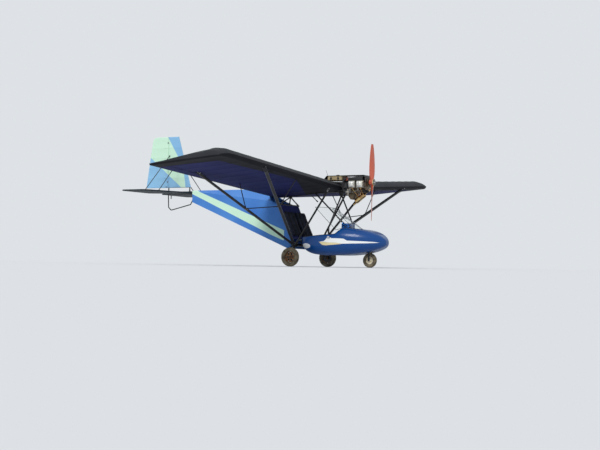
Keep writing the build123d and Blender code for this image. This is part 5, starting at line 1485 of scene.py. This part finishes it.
# Plate, tank and air box fittings: rivets along the plate's edges, two black straps round the tank with its
# cap and outlet, a lid rim on the air box, and the mount's bolts and washers.
PLATE_EDGE = 0.155
PLATE_TOP = 1.843
plate_parts = bmesh.new()
for side in (PLATE_EDGE, -PLATE_EDGE):
    for number in range(18):
        x = 1.67 + number * 0.048
        lay_rod(plate_parts, (x, side, PLATE_TOP), (x, side, PLATE_TOP + 0.0015), 0.004, 0.002, sides=10)
    for number in range(6):
        z = 1.7 + number * 0.022
        lay_rod(plate_parts, (2.51, side, z), (2.5125, side, z), 0.004, 0.002, sides=10)
for x in CYLINDER_XS:
    for y in (-0.062, 0.062):
        lay_bolt(plate_parts, (x, y, PLATE_TOP), (0, 0, 1), 0.011)
        lay_rod(plate_parts, (x, y, 1.7503), (x, y, 1.758), 0.014)
for y in (-0.07, 0.07):
    for z in (CRANK_AXIS - 0.07, CRANK_AXIS + 0.07):
        lay_bolt(plate_parts, (1.99, y, z), (-1, 0, 0), 0.014)
        for x in (2.166, 2.006):
            lay_rod(plate_parts, (x, y, z), (x - 0.006, y, z), 0.024, sides=24)
make_piece("plate_fittings", plate_parts, bare_metal)
straps, tank_parts, lid = (bmesh.new() for _ in range(3))
for x in (1.9, 1.74):
    lay_rounded(straps, (x - 0.019, -0.1535, 1.743), (x + 0.019, 0.1535, 1.8378), 0.018)
    lay_box(straps, (x - 0.024, -0.1565, 1.775), (x + 0.024, -0.153, 1.8))
make_piece("tank_straps", straps, rubber)
lay_rod(tank_parts, (1.82, 0, PLATE_TOP), (1.82, 0, PLATE_TOP + 0.018), 0.034, sides=12)
lay_rod(tank_parts, (1.82, 0, PLATE_TOP + 0.018), (1.82, 0, PLATE_TOP + 0.023), 0.028, sides=24)
lay_rod(tank_parts, (1.968, -0.09, 1.768), (1.995, -0.09, 1.762), 0.009)
make_piece("tank_cap", tank_parts, satin_black)
lay_rounded(lid, (2.008, -0.1115, 1.788), (2.152, 0.1115, 1.796), 0.003)
for y in (-0.07, 0, 0.07):
    lay_bolt(lid, (2.151, y, 1.78), (1, 0, 0), 0.008)
make_piece("air_box_lid", lid, satin_black)

# Propeller: two blades carved from one bonded stack of wooden strips, stained orange red and varnished.
# It is clamped between two turned flanges by six bolts; the front flange's pale yellow rim is a painted
# highlight.
FLANGE_FRONT = 2.632
FLANGE_RIM = 0.062
FLANGE_DEPTH = 0.012
BOLT_CIRCLE = 0.04
BOLT_WASHER = 0.0015
RING_STEPS = 72


def spin_ring(profile, centre, axis):
    """Spin a closed outline, given as (across, out) from an axle along X or Y, into a ring."""
    mesh = bmesh.new()
    x, y, z = centre
    ring = [mesh.verts.new((x + across * axis[0], y + across * axis[1], z + out)) for across, out in profile]
    for first, second in zip(ring, ring[1:] + ring[:1]):
        mesh.edges.new((first, second))
    bmesh.ops.spin(
        mesh, geom=mesh.verts[:] + mesh.edges[:], cent=centre, axis=axis, angle=math.tau, steps=RING_STEPS,
        use_merge=True,
    )
    face_out(mesh)
    return mesh


blade_wood = start_finish("blade_wood", seen(196, 86, 58), 0.28, coat=0.6)
strip_grain = {
    "Vector": step(blade_wood, "TexCoord").outputs["Object"], "Scale": 39, "Distortion": 1.2, "Detail": 2,
}
strips = step(blade_wood, "TexWave", strip_grain, wave_type="BANDS", bands_direction="X")
strip_tone = mix_tones(blade_wood, strips.outputs["Fac"], seen(170, 66, 44), seen(212, 104, 72))
feed(blade_wood, "Base Color", strip_tone)
raise_grain(blade_wood, 160, 0.0001)
dress("propeller", blade_wood)
flange_dark = start_finish("flange_dark", seen(58, 52, 46), 0.4, metallic=0.6)
vary_gloss(flange_dark, 60, 0.3, 0.5)
dress("propeller_flange", flange_dark)
# A thin pale yellow band stands proud of the front flange's rim: painted highlight where the sun catches it.
highlight_rim = start_mottled(
    "highlight_rim", seen(226, 208, 150), 0.4, seen(202, 182, 122), seen(236, 220, 168), 30
)
low_rim, high_rim = FLANGE_RIM + 0.0004, FLANGE_RIM + 0.002
highlight_profile = ((-FLANGE_DEPTH, low_rim), (-FLANGE_DEPTH, high_rim), (0, high_rim), (0, low_rim))
highlight_band = spin_ring(highlight_profile, (FLANGE_FRONT, 0, GEAR_AXIS), (1, 0, 0))
make_piece("flange_highlight_band", highlight_band, highlight_rim, "propeller")
flange_bolts = bmesh.new()
for across, high in round_places(6, BOLT_CIRCLE):
    place = Vector((FLANGE_FRONT, across, GEAR_AXIS + high))
    lay_rod(flange_bolts, place, place + Vector((BOLT_WASHER, 0, 0)), 0.0085, sides=24)
    lay_bolt(flange_bolts, place + Vector((BOLT_WASHER, 0, 0)), (1, 0, 0), 0.012)
spinner = Vector((FLANGE_FRONT, 0, GEAR_AXIS))
lay_rod(flange_bolts, spinner, spinner + Vector((0.009, 0, 0)), 0.018, 0.014, sides=32)
make_piece("propeller_bolts", flange_bolts, bare_metal, "propeller")

# Tyres: low-pressure balloon tyres of black rubber gone brown with dust, two on the main wheels and a smaller
# one on the nose. The crown is moulded with rows of small blocks, and each wall has a raised rib.
WALL_STEPS = 26
TREAD = 0.004
BLOCK_GAP = 0.0016
WALL_RIB = 0.0012
LEFT_WHEEL = (1.194, 0.808, 0.19)
NOSE_WHEEL = (2.561, 0, 0.145)
MAIN_TYRE = (0.19, 0.104, 0.108)
NOSE_TYRE = (0.145, 0.084, 0.074)
RIGHT_WHEEL = (1.194, -0.808, 0.19)
ACROSS = (0, 1, 0)
tyre_rubber = start_mottled("tyre_rubber", seen(106, 96, 78), 0.85, seen(80, 72, 58), seen(134, 122, 98), 14)
raise_grain(tyre_rubber, 300, 0.0006)


def power(value, exponent):
    """Raise a value to a power and keep its sign."""
    return math.copysign(abs(value) ** exponent, value)


def draw_tyre(centre, radius, width, rim):
    """Spin a tyre from bead to bead and raise the blocks of its tread."""
    profile = []
    for number in range(WALL_STEPS + 1):
        turn = math.radians(300 * number / WALL_STEPS - 150)
        rib = WALL_RIB if 95 < abs(math.degrees(turn)) < 108 else 0
        across = (width / 2 - WALL_RIB + rib) * power(math.sin(turn), 0.8)
        out = (radius + rim) / 2 + (radius - rim) / 2 * power(math.cos(turn), 0.7)
        profile.append((across, out - TREAD * max(0, math.cos(turn))))
    mesh = spin_ring(profile, centre, ACROSS)
    crown = []
    for face in mesh.faces:
        middle = face.calc_center_median() - Vector(centre)
        if math.hypot(middle.x, middle.z) > radius - TREAD - 0.009 and abs(middle.y) < width * 0.36:
            crown.append(face)
    bmesh.ops.inset_individual(mesh, faces=crown, thickness=BLOCK_GAP, depth=TREAD)
    return mesh


for name, packed, centre, sizes, body in (
    ("left", "main_tyre_left", LEFT_WHEEL, MAIN_TYRE, "main_wheel_left"),
    ("right", "main_tyre_right", RIGHT_WHEEL, MAIN_TYRE, "main_wheel_right"),
    ("nose", "nose_tyre", NOSE_WHEEL, NOSE_TYRE, "nose_wheel"),
):
    tyre = make_piece(f"tyre_{name}", draw_tyre(centre, *sizes), tyre_rubber, body, crease=28)
    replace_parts(tyre, packed)

# Hubs: main hubs of brown painted castings, closed behind by a brake plate, and a cream nose hub. Each main
# hub has its rim bolts and a bare metal valve, and its axle carries a nut on a washer.
PLATE_INSET = 0.02
PLATE_HALF = 0.003
PLATE_RADII = (0.016, 0.098)
RIM_BOLT_CIRCLE = 0.09
AXLE_END = 0.8555
hub_brown = start_mottled("hub_brown", seen(122, 84, 50), 0.5, seen(84, 56, 36), seen(148, 106, 62), 20)
raise_grain(hub_brown, 500, 0.0001)
hub_cream = start_mottled("hub_cream", seen(236, 226, 196), 0.4, seen(214, 200, 164), seen(244, 236, 212), 16)
raise_grain(hub_cream, 500, 0.0001)
dress("main_hub_left", hub_brown)
dress("main_hub_right", hub_brown)
dress("nose_hub", hub_cream)
for side_name, way, centre in (("left", 1, Vector(LEFT_WHEEL)), ("right", -1, Vector(RIGHT_WHEEL))):
    wheel = f"main_wheel_{side_name}"
    near, far = -way * PLATE_INSET - PLATE_HALF, -way * PLATE_INSET + PLATE_HALF
    hole, edge = PLATE_RADII
    plate = spin_ring(((near, hole), (far, hole), (far, edge), (near, edge)), centre, ACROSS)
    make_piece(f"brake_plate_{side_name}", plate, satin_black, wheel)
    fittings = bmesh.new()
    for along, high in round_places(5, RIM_BOLT_CIRCLE, math.pi / 5):
        start = Vector((centre.x + along, FAR_OUT * way, centre.z + high))
        hit, place, _, _ = nodes[f"main_hub_{side_name}"].ray_cast(start, (0, -way, 0))
        if hit:
            lay_bolt(fittings, place, (0, way, 0), 0.009)
    stem = centre + Vector((0.1, way * 0.03, 0))
    lay_rod(fittings, stem, stem + Vector((-0.012, way * 0.028, 0)), 0.004, 0.003, sides=12)
    make_piece(f"hub_fittings_{side_name}", fittings, bare_metal, wheel)
    nut = bmesh.new()
    end = Vector((centre.x, way * AXLE_END, centre.z))
    lay_rod(nut, end, end + Vector((0, way * 0.0015, 0)), 0.017, sides=28)
    lay_rod(nut, end + Vector((0, way * 0.0015, 0)), end + Vector((0, way * 0.0105, 0)), 0.0145, sides=6)
    make_piece(f"axle_nut_{side_name}", nut, bare_metal)
